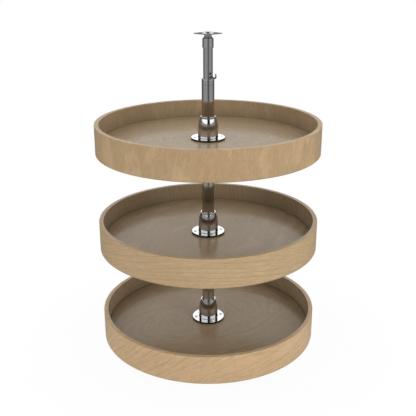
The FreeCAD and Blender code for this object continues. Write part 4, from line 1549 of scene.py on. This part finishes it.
class CAROUSEL_OT_flange_screws(PieceOperator, Operator):
    """Drives the screws of the hub flanges"""
    bl_idname = "carousel.flange_screws"
    bl_label = "Flange Screws"

    def execute(self, context):
        for tray in TRAYS:
            flange_screws(tray)
        return {"FINISHED"}


class CAROUSEL_OT_collars(PieceOperator, Operator):
    """Locks a stop collar under each tray"""
    bl_idname = "carousel.collars"
    bl_label = "Stop Collars"

    def execute(self, context):
        for tray in TRAYS:
            collar(tray)
        return {"FINISHED"}


class CAROUSEL_OT_lower_tube(PieceOperator, Operator):
    """Stands up the lower tube with its ferrule and foot bearing"""
    bl_idname = "carousel.lower_tube"
    bl_label = "Lower Tube"

    def execute(self, context):
        lower_tube()
        return {"FINISHED"}


class CAROUSEL_OT_mast(PieceOperator, Operator):
    """Slides in the upper tube with its holes, plug and cap"""
    bl_idname = "carousel.mast"
    bl_label = "Upper Tube"

    def execute(self, context):
        mast()
        return {"FINISHED"}


class CAROUSEL_OT_height_pin(PieceOperator, Operator):
    """Bends the hooked height pin"""
    bl_idname = "carousel.height_pin"
    bl_label = "Height Pin"

    def execute(self, context):
        height_pin()
        return {"FINISHED"}


class CAROUSEL_OT_ceiling_plate(PieceOperator, Operator):
    """Stamps the ceiling plate and rivets its pin"""
    bl_idname = "carousel.ceiling_plate"
    bl_label = "Ceiling Plate"

    def execute(self, context):
        ceiling_plate()
        return {"FINISHED"}


class CAROUSEL_OT_floor_plate(PieceOperator, Operator):
    """Stamps the floor plate and rivets its stud"""
    bl_idname = "carousel.floor_plate"
    bl_label = "Floor Plate"

    def execute(self, context):
        floor_plate()
        return {"FINISHED"}


class CAROUSEL_OT_studio(PieceOperator, Operator):
    """Sets the camera, floor and lamps"""
    bl_idname = "carousel.studio"
    bl_label = "Studio"

    def execute(self, context):
        studio()
        return {"FINISHED"}


SETTINGS = {
    "carousel_tray": TraySizes,
    "carousel_hub": HubSizes,
    "carousel_post": PostSizes,
    "carousel_finishes": Finishes,
    "carousel_studio": StudioSettings,
}
OPERATORS = (
    CAROUSEL_OT_hoops,
    CAROUSEL_OT_panels,
    CAROUSEL_OT_hubs,
    CAROUSEL_OT_flange_screws,
    CAROUSEL_OT_collars,
    CAROUSEL_OT_lower_tube,
    CAROUSEL_OT_mast,
    CAROUSEL_OT_height_pin,
    CAROUSEL_OT_ceiling_plate,
    CAROUSEL_OT_floor_plate,
    CAROUSEL_OT_studio,
)


class CAROUSEL_PT_pieces(Panel):
    """Lists the settings and the operators of the carousel"""
    bl_idname = "CAROUSEL_PT_pieces"
    bl_label = "Pantry Carousel"
    bl_space_type = "VIEW_3D"
    bl_region_type = "UI"
    bl_category = "Carousel"

    def draw(self, context):
        for name, group in SETTINGS.items():
            box = self.layout.box()
            box.label(text=group.__doc__.rstrip("."))
            settings = getattr(context.scene, name)
            for label in group.__annotations__:
                box.prop(settings, label)
        for operator in OPERATORS:
            self.layout.operator(operator.bl_idname)


CLASSES = (*SETTINGS.values(), *OPERATORS, CAROUSEL_PT_pieces)


def register():
    for entry in CLASSES:
        bpy.utils.register_class(entry)
    for name, group in SETTINGS.items():
        setattr(bpy.types.Scene, name, PointerProperty(type=group))


def unregister():
    for name in SETTINGS:
        delattr(bpy.types.Scene, name)
    for entry in reversed(CLASSES):
        bpy.utils.unregister_class(entry)


def main():
    """Registers the add-on and builds every piece in order."""
    register()
    for operator in OPERATORS:
        family, name = operator.bl_idname.split(".")
        getattr(getattr(bpy.ops, family), name)()


if __name__ == "__main__":
    main()
